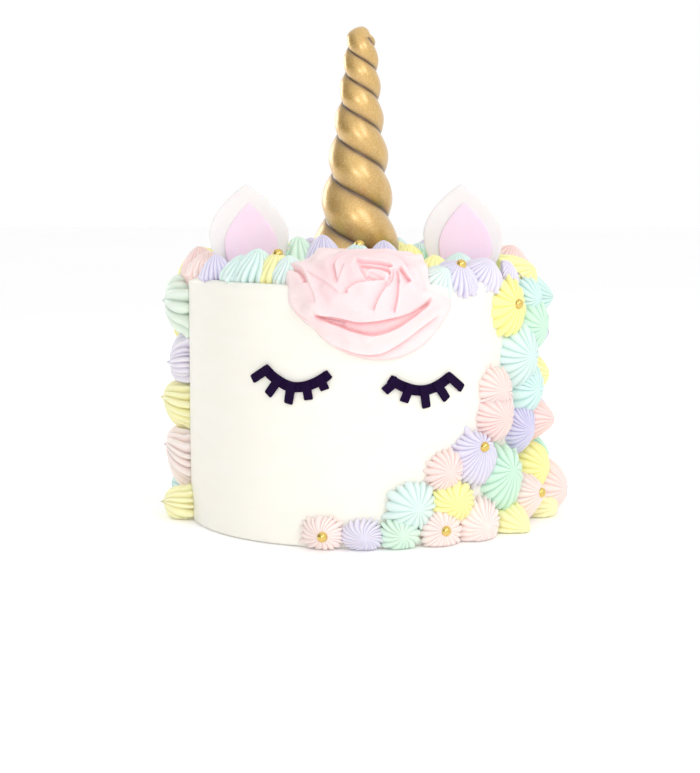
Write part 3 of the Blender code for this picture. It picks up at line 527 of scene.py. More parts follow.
# end of the piece's name, node, the band as (lowest point, half span, rise on the left and on the
# right), then each strip as its place on the band from -1 to 1 and the arc and height of its tip
eyes = (
    (
        "Left",
        "eyelash_left",
        ((-25.1, 68.9), 14.6, 7.4, 6.2),
        (
            (-0.94, -46.3, 71.0),
            (-0.55, -38.4, 64.9),
            (-0.13, -28.7, 61.6),
            (0.33, -19.4, 63.8),
            (0.75, -12.3, 68.2),
        ),
    ),
    (
        "Right",
        "eyelash_right",
        ((29.0, 67.3), 14.2, 5.6, 5.6),
        (
            (-0.85, 12.5, 67.4),
            (-0.42, 21.0, 62.7),
            (0.06, 31.4, 59.8),
            (0.52, 41.3, 62.7),
            (0.93, 49.4, 66.8),
        ),
    ),
)


# a strip on the face: path of (arc, height, lift), rounded-box section, blunt ends
def faceStrip(path, width, thickness):
    rows = eyeShape["rows"]
    run = through(path, rows)
    along = np.gradient(run[:, :2], axis=0)
    along /= np.linalg.norm(along, axis=1)[:, None]
    side = np.stack([-along[:, 1], along[:, 0]], axis=1)
    turn = np.linspace(0.0, 2 * math.pi, eyeShape["columns"], endpoint=False)
    aside = np.sign(np.cos(turn)) * np.abs(np.cos(turn)) ** 0.28 * width / 2
    up = np.sign(np.sin(turn)) * np.abs(np.sin(turn)) ** 0.4 * thickness / 2
    ends = np.minimum(np.arange(rows), np.arange(rows)[::-1])  # rows from the nearer end
    blunt = np.minimum(1.0, 0.86 + 0.14 * np.sqrt(np.clip(ends / 2.0, 0.0, 1.0)))[:, None]
    arc = run[:, 0:1] + side[:, 0:1] * aside * blunt
    height = run[:, 1:2] + side[:, 1:2] * aside * blunt
    lift = run[:, 2:3] + thickness / 2 + up * blunt
    reach = bodyRadius + lift
    grid = np.stack([reach * np.sin(arc / bodyRadius), -reach * np.cos(arc / bodyRadius), height], axis=-1)
    grid += 0.10 * ripple(grid, 9.0, 31)[..., None] * (1.0, 0.0, 1.0)
    return gridShell(grid, firstTip=grid[0].mean(axis=0), lastTip=grid[-1].mean(axis=0))


# the band's path: lowest point, half span, and an end height of its own on each side
def bandPoint(shape, places):
    (lowX, lowZ), span, leftRise, rightRise = shape
    rise = np.where(places < 0, leftRise, rightRise)
    return np.stack([lowX + span * places, lowZ + rise * np.abs(places) ** 1.9], axis=-1)


def buildEyes():
    look = sugarPaste("dark purple sugar paste", "#1A0A2C", "#1F0B34", 0.6, 0.0, 0.05)
    for label, node, shape, lashes in eyes:
        places = np.linspace(-1.0, 1.0, 13)
        path = np.column_stack([bandPoint(shape, places), np.full(13, -eyeShape["sunk"])])
        shells = [faceStrip(path, eyeShape["bandWidth"], eyeShape["bandThickness"] + eyeShape["sunk"])]
        for place, tipArc, tipZ in lashes:
            root = bandPoint(shape, np.array(place))
            tip = np.array((tipArc, tipZ))
            way = (tip - root) / np.linalg.norm(tip - root)
            start = root - way * eyeShape["bandWidth"] * 0.46
            middle = root + way * eyeShape["bandWidth"] * 0.55
            # it lies on the band at its root and comes down to the face at its tip
            strip = [(*start, 0.95), (*root, 1.05), (*middle, 0.6), (*tip, 0.0)]
            shells.append(faceStrip(strip, eyeShape["stripWidth"], eyeShape["stripThickness"] + 0.25))
        makePiece("eyelash" + label, shells, look, [node])


buildEyes()


# Piped swirls. Each row of the table: node, azimuth and height on the side, or x and y on the top,
# then radius, how far it stands out, colour and whether it carries a pearl.
sideSwirls = (
    ("base_swirl_1", -10.0, 6.2, 10.3, 7.0, "pink", True),
    ("base_swirl_2", 2.4, 5.4, 9.9, 7.3, "lavender", False),
    ("base_swirl_3", 14.4, 5.6, 9.8, 7.5, "mint", False),
    ("base_swirl_4", 28.6, 4.8, 11.2, 8.5, "pink", True),
    ("base_swirl_5", 43.6, 6.6, 12.4, 11.0, "pink", False),
    ("base_swirl_6", 62.0, 1.5, 11.4, 13.5, "yellow", False),
    ("base_swirl_7", 73.0, 11.5, 12.8, 15.0, "pink", True),
    ("base_swirl_8", 89.0, 5.0, 11.4, 20.0, "yellow", False),
    ("mane_swirl_01", 18.0, 17.8, 11.7, 8.0, "aqua", False),
    ("mane_swirl_02", 33.2, 18.2, 12.2, 8.0, "yellow", False),
    ("mane_swirl_03", 30.2, 31.6, 9.8, 7.0, "pink", False),
    ("mane_swirl_04", 41.8, 35.7, 12.8, 9.0, "lavender", True),
    ("mane_swirl_05", 56.4, 24.0, 15.0, 10.5, "mint", False),
    ("mane_swirl_06", 52.4, 53.2, 12.4, 8.5, "pink", False),
    ("mane_swirl_07", 52.6, 64.2, 10.8, 8.0, "pink", False),
    ("mane_swirl_08", 70.5, 44.4, 12.4, 10.5, "lavender", False),
    ("mane_swirl_09", 74.5, 62.0, 13.0, 11.5, "aqua", False),
    ("mane_swirl_10", 68.0, 77.4, 16.2, 11.5, "aqua", False),
    ("mane_swirl_11", 60.0, 99.4, 13.0, 8.5, "yellow", True),
    ("mane_swirl_12", 78.0, 90.5, 13.6, 13.5, "mint", False),
    ("mane_swirl_13", 77.5, 103.0, 9.4, 10.5, "aqua", False),
    ("mane_swirl_14", 82.0, 24.4, 12.6, 15.0, "yellow", False),
    ("mane_swirl_15", 93.0, 12.0, 16.4, 24.5, "pink", False),
    ("left_swirl_1", -82.0, 5.2, 10.0, 12.5, "yellow", False),
    ("left_swirl_2", -95.0, 24.2, 16.0, 12.3, "pink", False),
    ("left_swirl_3", -94.0, 50.0, 12.2, 13.3, "yellow", False),
    ("left_swirl_4", -93.0, 72.2, 12.2, 9.8, "lavender", False),
    ("left_swirl_5", -94.0, 97.0, 15.2, 11.8, "mint", False),
)
# those at the edge of the top also tilt outwards, in degrees, with their foot sunk into the cake
topSwirls = (
    ("crown_swirl_01", -66.5, -15.0, 10.0, 11.0, "pink", False),
    ("crown_swirl_02", -60.8, -33.0, 7.9, 10.5, "lavender", False),
    ("crown_swirl_03", -49.6, -43.2, 9.8, 11.0, "aqua", False),
    ("crown_swirl_04", -42.4, -47.4, 10.4, 14.0, "aqua", False),
    ("crown_swirl_05", -33.4, -52.4, 9.8, 12.6, "yellow", True),
    ("crown_swirl_06", -27.4, -57.4, 9.2, 12.0, "aqua", False, 14.0),
    ("crown_swirl_07", -25.4, -26.0, 12.4, 18.0, "mint", False),
    ("crown_swirl_08", -14.0, -29.0, 11.0, 19.0, "lavender", False),
    ("crown_swirl_09", 0.6, -30.0, 11.0, 15.5, "aqua", True),
    ("crown_swirl_10", 13.8, -29.0, 11.0, 16.5, "lavender", False),
    ("crown_swirl_11", 24.0, -23.0, 11.4, 14.5, "yellow", False),
    ("crown_swirl_12", 45.5, -35.5, 10.4, 11.5, "aqua", False),
    ("crown_swirl_13", 35.0, -45.0, 9.4, 11.0, "yellow", False),
    ("crown_swirl_14", 36.2, -58.0, 8.8, 8.5, "aqua", False, 36.0, 0.5),
    ("crown_swirl_15", 43.6, -54.2, 10.2, 9.5, "lavender", True, 34.0, 0.0),
    ("crown_swirl_16", 55.4, -41.4, 10.2, 10.0, "lavender", False, 34.0, 0.0),
    ("crown_swirl_17", 65.4, -28.4, 8.4, 8.5, "lavender", False, 28.0, 0.5),
    ("crown_swirl_18", 72.0, -10.0, 12.5, 12.0, "yellow", False, 60.0, 3.0),
)

# profile from the foot to the tip: share of the height, share of the radius, depth of the creases
kissProfile = (
    (-0.50, 0.78, 0.2),
    (-0.08, 0.88, 0.32),
    (0.0, 0.96, 0.32),
    (0.10, 1.0, 0.25),
    (0.25, 0.98, 0.19),
    (0.42, 0.88, 0.16),
    (0.58, 0.74, 0.16),
    (0.72, 0.58, 0.18),
    (0.84, 0.42, 0.21),
    (0.93, 0.26, 0.24),
    (0.98, 0.13, 0.24),
    (1.0, 0.05, 0.2),
)
# a blunter one, for the column on the left and for bluntNodes
bluntProfile = (
    (-0.50, 0.8, 0.2),
    (-0.08, 0.9, 0.26),
    (0.0, 0.97, 0.26),
    (0.20, 1.0, 0.2),
    (0.45, 0.95, 0.17),
    (0.65, 0.84, 0.17),
    (0.80, 0.68, 0.18),
    (0.90, 0.50, 0.2),
    (0.97, 0.28, 0.22),
    (1.0, 0.10, 0.2),
)
swirlRibs = {"pink": 20, "yellow": 15, "mint": 15, "aqua": 16, "lavender": 24}
# tips pulled off the middle, in millimetres to the right and up, and swirls pressed flat from above
swirlLean = {
    "mane_swirl_04": (0.0, 6.5),
    "mane_swirl_05": (-0.8, 4.8),
    "mane_swirl_11": (-0.6, 2.6),
    "base_swirl_4": (-1.6, 2.5),
    "base_swirl_7": (0.0, 4.0),
    "crown_swirl_15": (-1.6, 0.5),
    "left_swirl_1": (0.0, 2.0),
    "left_swirl_2": (0.0, 6.5),
    "left_swirl_3": (0.0, 3.5),
    "left_swirl_4": (0.0, -2.0),
    "left_swirl_5": (0.0, 2.0),
}
swirlFlat = {"base_swirl_1": 0.76, "base_swirl_2": 0.76, "base_swirl_3": 0.85, "mane_swirl_02": 0.8}
bluntNodes = (
    "base_swirl_8",
    "mane_swirl_09",
    "mane_swirl_12",
    "mane_swirl_13",
    "mane_swirl_14",
    "mane_swirl_15",
)


# a swirl on the side: it points away from the cake, turned round towards the front of the mane
def sideSwirl(node, azimuth, height, radius, out, colour, pearl):
    turn = math.radians(azimuth)
    foot = np.array((math.sin(turn), -math.cos(turn), 0.0)) * (bodyRadius + restGap)
    foot += (0.0, 0.0, height)
    # degrees that it is turned to the front, 32 at most, growing away from azimuth 20 on those that
    # show and falling to none at azimuth 110 on the hidden ones
    ahead = 0.45 * (azimuth - 20.0) if node != "mane_back" else 0.4 * (110.0 - azimuth)
    turn = math.radians(azimuth - min(max(ahead, 0.0), 32.0))
    outward = np.array((math.sin(turn), -math.cos(turn), 0.0))
    return {
        "node": node,
        "foot": foot,
        "outward": outward,
        "up": np.array((0.0, 0.0, 1.0)),
        "radius": radius,
        "height": out,
        "colour": colour,
        "pearl": pearl,
        "curve": 0.5 / bodyRadius,
    }


# a swirl on the top: it points up, tilted away from the middle of the cake
def topSwirl(node, x, y, radius, height, colour, pearl, tilt=0.0, sink=0.0):
    foot = np.array((x, y, bodyHeight + restGap - sink))
    ahead = np.array((x, y, 0.0)) / math.hypot(x, y)
    rise = np.array((0.0, 0.0, 1.0))
    cosine = math.cos(math.radians(tilt))
    sine = math.sin(math.radians(tilt))
    outward = rise * cosine + ahead * sine
    up = rise * sine - ahead * cosine
    return {
        "node": node,
        "foot": foot,
        "outward": outward,
        "up": up,
        "radius": radius,
        "height": height,
        "colour": colour,
        "pearl": pearl,
        "curve": 0.0,
    }


def middleOf(swirl):
    return swirl["foot"] + swirl["outward"] * swirl["height"] * 0.4


# how deep a swirl may press against the horn, and how far in front of an ear it ends
clearance = {"intoHorn": 0.8, "beforeEar": 3.0}


# planes that hold a swirl off the floor, the horn and the ears, each a point and the way out past it
def planesOf(swirl):
    planes = [(np.zeros(3), np.array([0.0, 0.0, -1.0]))]
    if swirl["outward"][2] < 0.4:
        return planes
    hornFoot = np.array([hornAxisX(hornShape["length"]), 0.0, 0.0])
    thick = hornRadius(hornShape["length"])
    towards = hornFoot - swirl["foot"] * (1.0, 1.0, 0.0)
    away = np.linalg.norm(towards)
    if away < thick + 2 * swirl["radius"]:
        towards /= away
        planes.append((hornFoot - towards * (thick - clearance["intoHorn"]), towards))
    half = earShape["thickness"] / 2
    front = earShape["depthY"] - half - clearance["beforeEar"]
    for _, _, middleX, _, _ in ears:
        away = np.linalg.norm(swirl["foot"][:2] - (middleX, earShape["depthY"]))
        if away > earShape["halfWidth"] + swirl["radius"]:
            continue
        beside = math.copysign(1.0, middleX - swirl["foot"][0])
        # the ear's near edge, its front or its back, whichever leaves the swirl the most room
        choices = [
            (np.array([middleX - beside * earShape["halfWidth"], 0.0, 0.0]), np.array([beside, 0.0, 0.0])),
            (np.array([0.0, front, 0.0]), np.array([0.0, 1.0, 0.0])),
            (np.array([0.0, earShape["depthY"] + half, 0.0]), np.array([0.0, -1.0, 0.0])),
        ]
        planes.append(max(choices, key=lambda plane: (plane[0] - swirl["foot"]) @ plane[1]))
    return planes


# how the swirls vary: a pair is the least and the most of a random draw, but for oval, whose two are
# shares of the radius
swirlShape = {
    "ribSteps": 6,
    "rows": 28,
    "hiddenRibSteps": 4,
    "hiddenRows": 14,
    "ribSize": (0.6, 1.15),
    "ribWidth": (0.6, 1.4),
    "twist": (-0.15, 0.6),
    "fringe": (-0.04, 0.26),
    "fringeHeight": 0.15,
    "oval": (0.035, 0.02),
    "leanSide": (-1.2, 1.2),
    "leanUp": (-0.6, 0.8),
    "tint": (0.0, 0.25),
    # the column on the left: less twist, deeper creases and a small point, in millimetres
    "leftTwist": 0.2,
    "leftDepth": 1.5,
    "leftPoint": 1.6,
    # swirls made paler, by the first word of the node's name; on the left column the paleness is painted
    # light, standing in for the light that falls there
    "paler": {"left": 0.45, "base": 0.25, "crown": 0.12},
    "palerYellow": 0.55,
}


# distance from the swirl's axis = radius x profile x (1 - depth x (1 - bulge)), where bulge is
# (1 - |s|^1.9)^0.7 for s from -1 to 1 across a rib; ribs turn and the tip leans with the height.
# At the foot ribs also spread by a fringe that fades as e^-(height / fringe height)^2.
def swirlShell(swirl, draw, fine):
    ribs = swirlRibs[swirl["colour"]]
    steps = swirlShape["ribSteps" if fine else "hiddenRibSteps"]
    rows = swirlShape["rows" if fine else "hiddenRows"]
    left = swirl["node"].startswith("left")
    profile = bluntProfile if left or swirl["node"] in bluntNodes else kissProfile
    height, wide, depth = through(profile, rows).T[:, :, None]
    depth = depth * (swirlShape["leftDepth"] if left else 1.0)
    place = np.arange(ribs * steps)
    rib = place // steps
    across = 2 * (place % steps) / steps - 1
    bulge = (1 - np.abs(across) ** 1.9) ** 0.7
    ribSize = draw.uniform(*swirlShape["ribSize"], ribs)[rib]
    widths = draw.uniform(*swirlShape["ribWidth"], ribs)
    edges = np.concatenate([[0.0], np.cumsum(widths)]) / widths.sum()
    angle = 2 * math.pi * (edges[rib] + (edges[rib + 1] - edges[rib]) * (place % steps) / steps)
    angle = angle + draw.uniform(0.0, 6.28)
    fringe = draw.uniform(*swirlShape["fringe"], ribs)[rib] * (1 - np.abs(across)) ** 0.8
    fringe = fringe * np.exp(-((height / swirlShape["fringeHeight"]) ** 2))
    twist = draw.uniform(*swirlShape["twist"]) * (swirlShape["leftTwist"] if left else 1.0)
    angle = angle + twist * np.clip(height, 0.0, 1.0) ** 1.4
    double, triple = swirlShape["oval"]
    oval = 1 + double * np.sin(2 * angle + draw.uniform(0, 6.28))
    oval = oval + triple * np.sin(3 * angle + draw.uniform(0, 6.28))
    reach = swirl["radius"] * wide * (1 - depth + depth * bulge * ribSize + fringe) * oval
    side = np.cross(swirl["up"], swirl["outward"])
    over = reach * np.cos(angle)
    rise = reach * np.sin(angle) * swirlFlat.get(swirl["node"], 1.0)
    # the foot follows the round of the cake
    sink = swirl["curve"] * over**2 * (height < 0.9)
    drawnLean = (draw.uniform(*swirlShape["leanSide"]), draw.uniform(*swirlShape["leanUp"]))
    leanSide, leanUp = swirlLean.get(swirl["node"], drawnLean)
    lean = side * leanSide + swirl["up"] * leanUp
    run = over[..., None] * side + rise[..., None] * swirl["up"]
    run += (swirl["height"] * height - sink)[..., None] * swirl["outward"]
    run += (np.clip(height, 0, 1) ** 2)[..., None] * lean
    # a point that would pass a plane is drawn back towards the foot until it lies on it
    share = np.ones(run.shape[:2])
    for point, normal in planesOf(swirl):
        towards = run @ normal
        room = (point - swirl["foot"]) @ normal
        limit = np.where(towards > 1e-6, room / np.maximum(towards, 1e-6), 9.0)
        share = np.minimum(share, limit)
    grid = swirl["foot"] + run * np.maximum(share, 0.02)[..., None]
    point = swirlShape["leftPoint"] if left else 0.0
    swirl["top"] = swirl["foot"] + swirl["outward"] * (swirl["height"] * 1.005 + point) + lean
    back = swirl["foot"] - swirl["outward"] * 0.7 * swirl["height"]
    # painted shade: the deep colour between the ribs and round the foot, where the swirl meets the cake
    cavity = np.clip((1 - bulge) ** 1.5 * (0.6 + depth) + 0.25 * (height < 0.03), 0.0, 1.0)
    # paler on the left column is painted light
    paler = swirlShape["paler"].get(swirl["node"].split("_")[0], 0.0)
    paler *= swirlShape["palerYellow"] if swirl["colour"] == "yellow" else 1.0
    tint = np.full(grid.shape[:2], draw.uniform(*swirlShape["tint"]) + paler)
    return gridShell(grid, firstTip=back, lastTip=swirl["top"], cavity=cavity, tint=tint)


# the rest of the mane: rows round the back and rings on the top, by one rule
maneRule = {
    "radius": 12.4,
    "height": 11.5,
    "rowHeights": (9.2, 28.0, 46.8, 65.6, 84.4, 102.4),
    "rowJitter": 1.1,
    "firstAzimuth": 84.0,
    "lastAzimuth": 261.0,
    "pitch": 14.6,
    # those up to this azimuth stand out further, as they make the outline on the right
    "rightAzimuth": 115.0,
    "rightExtra": 3.5,
    # reach from the middle of the cake, how many in the ring, tilt outwards
    "topRings": ((70.5, 22, 14.0), (50.5, 16, 0.0), (31.0, 9, 0.0)),
    # rings leave out the front of the top, but for its two ends
    "frontY": -14.0,
    "endX": 70.0,
    "fill": ((-47.0, -12.5), (50.0, -12.5), (-29.0, -9.0), (31.5, -6.0)),
    # least distance from a swirl that shows, as a share of their two radii
    "closest": 0.5,
    # one that leans out over the left edge: x, y, radius, height, colour, pearl, tilt and sink
    "leftEdge": (-70.0, -4.0, 9.6, 12.5, "pink", False, 6.0, 0.0),
}


def maneSwirls(shown):
    draw = random.Random(11)
    made = []

    def isClear(swirl):
        apart = [np.linalg.norm(middleOf(swirl) - middleOf(other)) for other in shown]
        radii = [swirl["radius"] + other["radius"] for other in shown]
        return min(np.divide(apart, radii)) > maneRule["closest"]

    radius = maneRule["radius"]
    first, last, pitch = maneRule["firstAzimuth"], maneRule["lastAzimuth"], maneRule["pitch"]
    for row, height in enumerate(maneRule["rowHeights"]):
        shift = 0.5 * pitch * (row % 2)
        for column in range(int((last - first) / pitch) + 1):
            azimuth = first + shift + column * pitch + draw.uniform(-0.6, 0.6)
            level = height + draw.uniform(-1, 1) * maneRule["rowJitter"]
            out = maneRule["height"] + draw.uniform(-1.0, 1.5)
            out += maneRule["rightExtra"] * (azimuth < maneRule["rightAzimuth"])
            swirl = sideSwirl("mane_back", azimuth, level, radius, out, "pink", False)
            if azimuth < last and isClear(swirl):
                made.append(swirl)
    for reach, count, tilt in maneRule["topRings"]:
        for place in range(count):
            azimuth = math.radians(180.0 + 360.0 / count * place + draw.uniform(-2.0, 2.0))
            x = reach * math.sin(azimuth)
            y = -reach * math.cos(azimuth)
            tall = maneRule["height"] + draw.uniform(0.0, 3.0)
            swirl = topSwirl("mane_back", x, y, radius, tall, "pink", False, tilt)
            if (y > maneRule["frontY"] or abs(x) > maneRule["endX"]) and isClear(swirl):
                made.append(swirl)
    for x, y in maneRule["fill"]:
        made.append(topSwirl("mane_back", x, y, radius, maneRule["height"], "pink", False))
    return made


# each hidden swirl takes the colour that its neighbours use least, where a neighbour counts
# e^-(distance / 22)^2
def colourMane(mane, shown):
    coloured = list(shown)
    draw = random.Random(4)
    for swirl in mane:
        scores = {colour: draw.uniform(0, 0.6) for colour in swirlRibs}
        for other in coloured:
            away = np.linalg.norm(middleOf(swirl) - middleOf(other))
            scores[other["colour"]] += math.exp(-((away / 22.0) ** 2))
        swirl["colour"] = min(scores, key=scores.get)
        coloured.append(swirl)


# beads of gold sugar set in the swirls' tips, at a share of the way up and a little aside
pearlShape = {"radius": 2.3, "share": 0.93, "aside": 0.5, "rings": 17, "columns": 28}


# a ball: cosine of the level across, sine of the level up
def pearlShell(swirl):
    side = np.cross(swirl["up"], swirl["outward"])
    middle = swirl["foot"] + (swirl["top"] - swirl["foot"]) * pearlShape["share"] + side * pearlShape["aside"]
    radius = pearlShape["radius"]
    level = np.radians(np.linspace(-88, 88, pearlShape["rings"]))[:, None]
    turn = np.linspace(0, 2 * math.pi, pearlShape["columns"], endpoint=False)[None, :]
    across = np.cos(level)
    grid = np.stack([across * np.cos(turn), across * np.sin(turn), np.sin(level) + 0 * turn], axis=-1)
    tip = (0, 0, radius)
    return gridShell(middle + radius * grid, firstTip=middle - tip, lastTip=middle + tip)


def buildSwirls():
    shown = [sideSwirl(*row) for row in sideSwirls] + [topSwirl(*row) for row in topSwirls]
    edge = topSwirl("mane_back", *maneRule["leftEdge"])
    mane = maneSwirls(shown + [edge])
    colourMane(mane, shown + [edge])
    mane.append(edge)
    draw = np.random.default_rng(9)
    for colour in swirlRibs:
        shells = [swirlShell(swirl, draw, True) for swirl in shown if swirl["colour"] == colour]
        shells += [swirlShell(swirl, draw, False) for swirl in mane if swirl["colour"] == colour]
        nodes = [swirl["node"] for swirl in shown if swirl["colour"] == colour]
        name = "swirls" + colour.capitalize()
        makePiece(name, shells, looks[colour], nodes, ["cavity", "tint"])
    pearls = [pearlShell(swirl) for swirl in shown if swirl["pearl"]]
    makePiece("sugarPearls", pearls, goldPearl(), [])


buildSwirls()


# Thin icing under the mane at the back and over the top, where gaps between swirls show it
bedShape = {
    "azimuths": (74.0, 262.0),
    "radius": 78.6,
    "top": 114.0,
    "rimRound": 3.0,
    "innerReach": 20.0,
    "unevenness": 0.5,
    "columns": 150,
}


# a turned profile: up the side, a quarter circle over the rim, and in over the top
def buildManeBed():
    turn = np.radians(np.linspace(*bedShape["azimuths"], bedShape["columns"]))[None, :]
    turns = np.radians(np.linspace(0.0, 90.0, 6))
    rim = bedShape["rimRound"]
    middle = bedShape["radius"] - rim
    level = bedShape["top"] - rim
    across = [np.full(24, bedShape["radius"]), middle + rim * np.cos(turns)]
    across = np.concatenate(across + [np.linspace(middle - 0.6, bedShape["innerReach"], 20)])[:, None]
    height = [np.linspace(0.2, level, 24), level + rim * np.sin(turns), np.full(20, bedShape["top"])]
    height = np.concatenate(height)[:, None]
    grid = np.stack([across * np.sin(turn), -across * np.cos(turn), height + 0 * turn], axis=-1)
    swell = bedShape["unevenness"] * ripple(grid, 14.0, 41) / 90.0
    grid *= (1.0 + swell)[..., None] * (1.0, 1.0, 0.0) + (0.0, 0.0, 1.0)
    zero = np.zeros(grid.shape[:2])
    # painted shade at a fifth all over the bed, which shows only in the gaps between swirls
    shell = gridShell(grid, closed=False, flip=True, cavity=zero + 0.2, tint=zero)
    makePiece("maneBed", [shell], looks["mixed"], ["mane_back"], ["cavity", "tint"])


buildManeBed()


# Rose piped over the front edge. A point on it is (x, along, lift): along is 0 on the bend of the
# edge, negative down the face and positive over the top, and lift is the height over the icing.
roseShape = {
    "bend": 14.0,
    "bendReach": 11.0,
    "middle": (5.0, -4.0),
    "sunk": 0.6,
    "edge": 0.05,
    "mound": 2.6,
    "step": 0.35,
    "lip": 0.14,
    "lipWidth": 1.4,
    "fadeShare": 0.12,
    "outerTint": 0.22,
    "rings": 215,
    "columns": 400,
}


# a quarter circle of the bend's radius between the flat face and the flat top, raised by the lift
def overEdge(x, along, lift):
    bend = roseShape["bend"]
    rimY = -np.sqrt(bodyRadius**2 - x**2)
    halfBend = bend * math.pi / 4
    slope = math.pi / 4 + np.clip(along, -halfBend, halfBend) / bend
    past = along - np.clip(along, -halfBend, halfBend)
    reach = bend + lift
    y = rimY + bend - reach * np.cos(slope) + np.maximum(past, 0.0)
    z = bodyHeight - bend + reach * np.sin(slope) + np.minimum(past, 0.0)
    return np.stack([x, y, z], axis=-1)


# on the bend the raised icing is twice as long as the edge under it
def stretched(along):
    return along + np.clip(along, -roseShape["bendReach"], roseShape["bendReach"])


def unstretched(q):
    return q - 0.5 * np.clip(q, -2.0 * roseShape["bendReach"], 2.0 * roseShape["bendReach"])


# outline of the whole rose, from its right point round by the back
roseOutline = (
    (41.8, -4.2, 2), (37.0, -3.2, 4), (33.4, -2.4, 8), (31.6, 1.0, 9.5), (30.5, 7.0, 11), (28.5, 15.0, 12),
    (23.0, 21.0, 13), (14.0, 23.5, 13.5), (4.0, 24.0, 13.8), (-6.0, 23.5, 14.4), (-13.6, 20.0, 15.2),
    (-16.8, 14.0, 15.2), (-18.0, 10.6, 14.4), (-19.8, 9.9, 10), (-24.0, 9.6, 9.8), (-28.0, 8.6, 9.5),
    (-29.3, 5.8, 8.5), (-28.9, 1.2, 7), (-28.4, -1.2, 6), (-27.9, -4.8, 5), (-25.2, -8.2, 4),
    (-22.6, -11.0, 3.5), (-17.2, -15.0, 3), (-13.3, -19.4, 3), (-8.8, -22.4, 3), (1.1, -26.8, 3.5),
    (9.4, -28.2, 4), (18.3, -27.5, 4), (28.0, -23.5, 4), (34.9, -17.2, 3.5), (39.2, -10.8, 3),
)
# rims of the petals: drop of the crease under a rim, how far it reaches, then points of the rim. The
# crease is on the right of a line as it is drawn, and the petal on its left.
roseRims = (
    (4.2, 4.5, (
        (-17.6, -8.5, 12.5), (-15.1, -9.5, 13), (-10.1, -9.8, 13.3), (-5.7, -10.2, 13.5),
        (1.0, -11.0, 13.7), (8.7, -10.8, 13.8), (15.3, -10.2, 13.6), (20.9, -9.5, 13), (25.4, -8.2, 12.3),
        (30.0, -6.0, 11), (32.3, -4.0, 10),
    )),
    (2.5, 2.2, ((-16.8, -9.0, 12.5), (-12.3, -10.0, 12.8), (-7.9, -10.5, 13.1), (-2.9, -11.2, 13.4))),
    (2.4, 4.0, (
        (33.1, -4.2, 6), (30.7, -6.8, 7), (25.6, -9.8, 8), (21.6, -11.8, 8.6), (17.7, -14.2, 9),
        (12.1, -16.2, 9.5), (6.5, -17.0, 9.6), (-1.3, -15.0, 9.6), (-5.7, -13.2, 9.5), (-10.2, -11.6, 9.3),
        (-15.2, -10.0, 9),
    )),
    (2.4, 3.0, (
        (-10.5, -21.0, 3.4), (-4.6, -23.2, 3.8), (0.8, -25.0, 4.2), (6.4, -25.6, 4.5), (11.4, -25.0, 4.7),
        (16.2, -22.8, 4.9), (21.2, -19.6, 5), (28.0, -14.8, 5), (33.1, -11.2, 4.6), (36.3, -9.4, 4),
    )),
    (3.4, 2.8, (
        (-28.2, 7.4, 10), (-24.5, 5.8, 10), (-21.8, 3.2, 10.5), (-20.4, 0.8, 10.8), (-19.6, -1.0, 11),
    )),
    (0.8, 4.0, ((-20.4, 0.8, 10.8), (-18.5, -2.2, 11), (-16.8, -4.8, 11.3), (-16.4, -7.0, 11.8))),
    (0.8, 3.5, (
        (-21.0, 3.5, 11), (-17.5, 1.2, 12), (-14.6, -0.2, 12.5), (-10.1, -2.8, 13.3), (-5.7, -5.0, 14),
    )),
    (1.8, 3.5, (
        (22.7, 0.0, 14), (21.1, 2.2, 14.5), (18.9, 4.0, 15), (16.2, 5.2, 15.3), (11.7, 5.8, 15.5),
        (6.0, 6.0, 15.5), (-0.2, 6.0, 15.3), (-4.9, 5.5, 15), (-7.4, 4.0, 15), (-8.4, 2.5, 14.8),
        (-7.9, 0.8, 14.5), (-7.3, -1.0, 14.2), (-6.5, -2.2, 14),
    )),
    (2.4, 2.0, (
        (0.1, 3.5, 16.5), (3.2, 2.8, 17), (7.6, 2.5, 17), (12.1, 2.0, 17), (14.9, 1.5, 16.5),
        (16.0, 0.8, 16),
    )),
    (2.4, 1.6, (
        (1.2, 2.2, 16.5), (4.9, 1.8, 16.8), (8.7, 1.2, 17), (12.1, 0.8, 17), (14.6, 0.0, 16.8),
        (14.9, -0.8, 16.6),
    )),
    (1.8, 1.1, ((13.4, -2.2, 17), (14.5, -1.2, 17), (12.0, 0.0, 17.2), (7.9, 0.8, 17.3), (4.8, 0.0, 17.2))),
    (1.7, 0.9, ((12.3, -2.2, 17), (10.6, -1.8, 17.2), (8.1, -1.0, 17.3), (5.7, -0.5, 17.2))),
    (1.9, 0.9, ((8.0, -2.5, 17), (6.6, -2.0, 17.2), (4.7, -1.5, 17.2))),
    (2.0, 2.2, (
        (12.8, -2.2, 17), (8.7, -2.5, 17), (4.3, -2.8, 17), (0.4, -3.0, 16.5), (-2.4, -3.8, 15.8),
        (-3.1, -4.2, 15.2), (-2.9, -5.0, 15),
    )),
    (1.9, 1.8, ((5.4, -2.5, 17), (2.9, -0.5, 17), (1.8, 1.0, 17), (0.8, 2.5, 16.8))),
    (0.9, 2.0, ((-4.2, 2.8, 15.5), (-5.4, 0.5, 15.2), (-6.8, -1.5, 15), (-7.2, -2.5, 14.8))),
    (1.5, 3.0, (
        (14.2, -2.2, 17), (12.8, -3.8, 16.5), (10.6, -5.5, 15.8), (8.9, -7.2, 15), (7.8, -8.8, 14.3),
    )),
    (1.7, 2.5, (
        (17.6, 1.2, 16.5), (18.4, -1.0, 16), (18.4, -3.2, 15.5), (18.1, -5.5, 15), (17.3, -7.5, 14.3),
        (16.5, -9.5, 13.7),
    )),
    (1.1, 1.5, ((16.5, 0.8, 16.6), (16.2, -1.0, 16.4), (15.1, -2.8, 16.2), (13.4, -4.0, 16))),
    (2.6, 2.0, ((19.1, 1.5, 15.5), (20.5, 0.2, 15.2), (22.1, -1.2, 15), (23.7, -2.2, 14.5))),
    (1.8, 2.0, ((-28.1, -3.8, 5), (-27.0, -6.2, 5), (-24.3, -8.5, 5), (-21.5, -10.0, 5), (-19.8, -10.5, 5))),
)
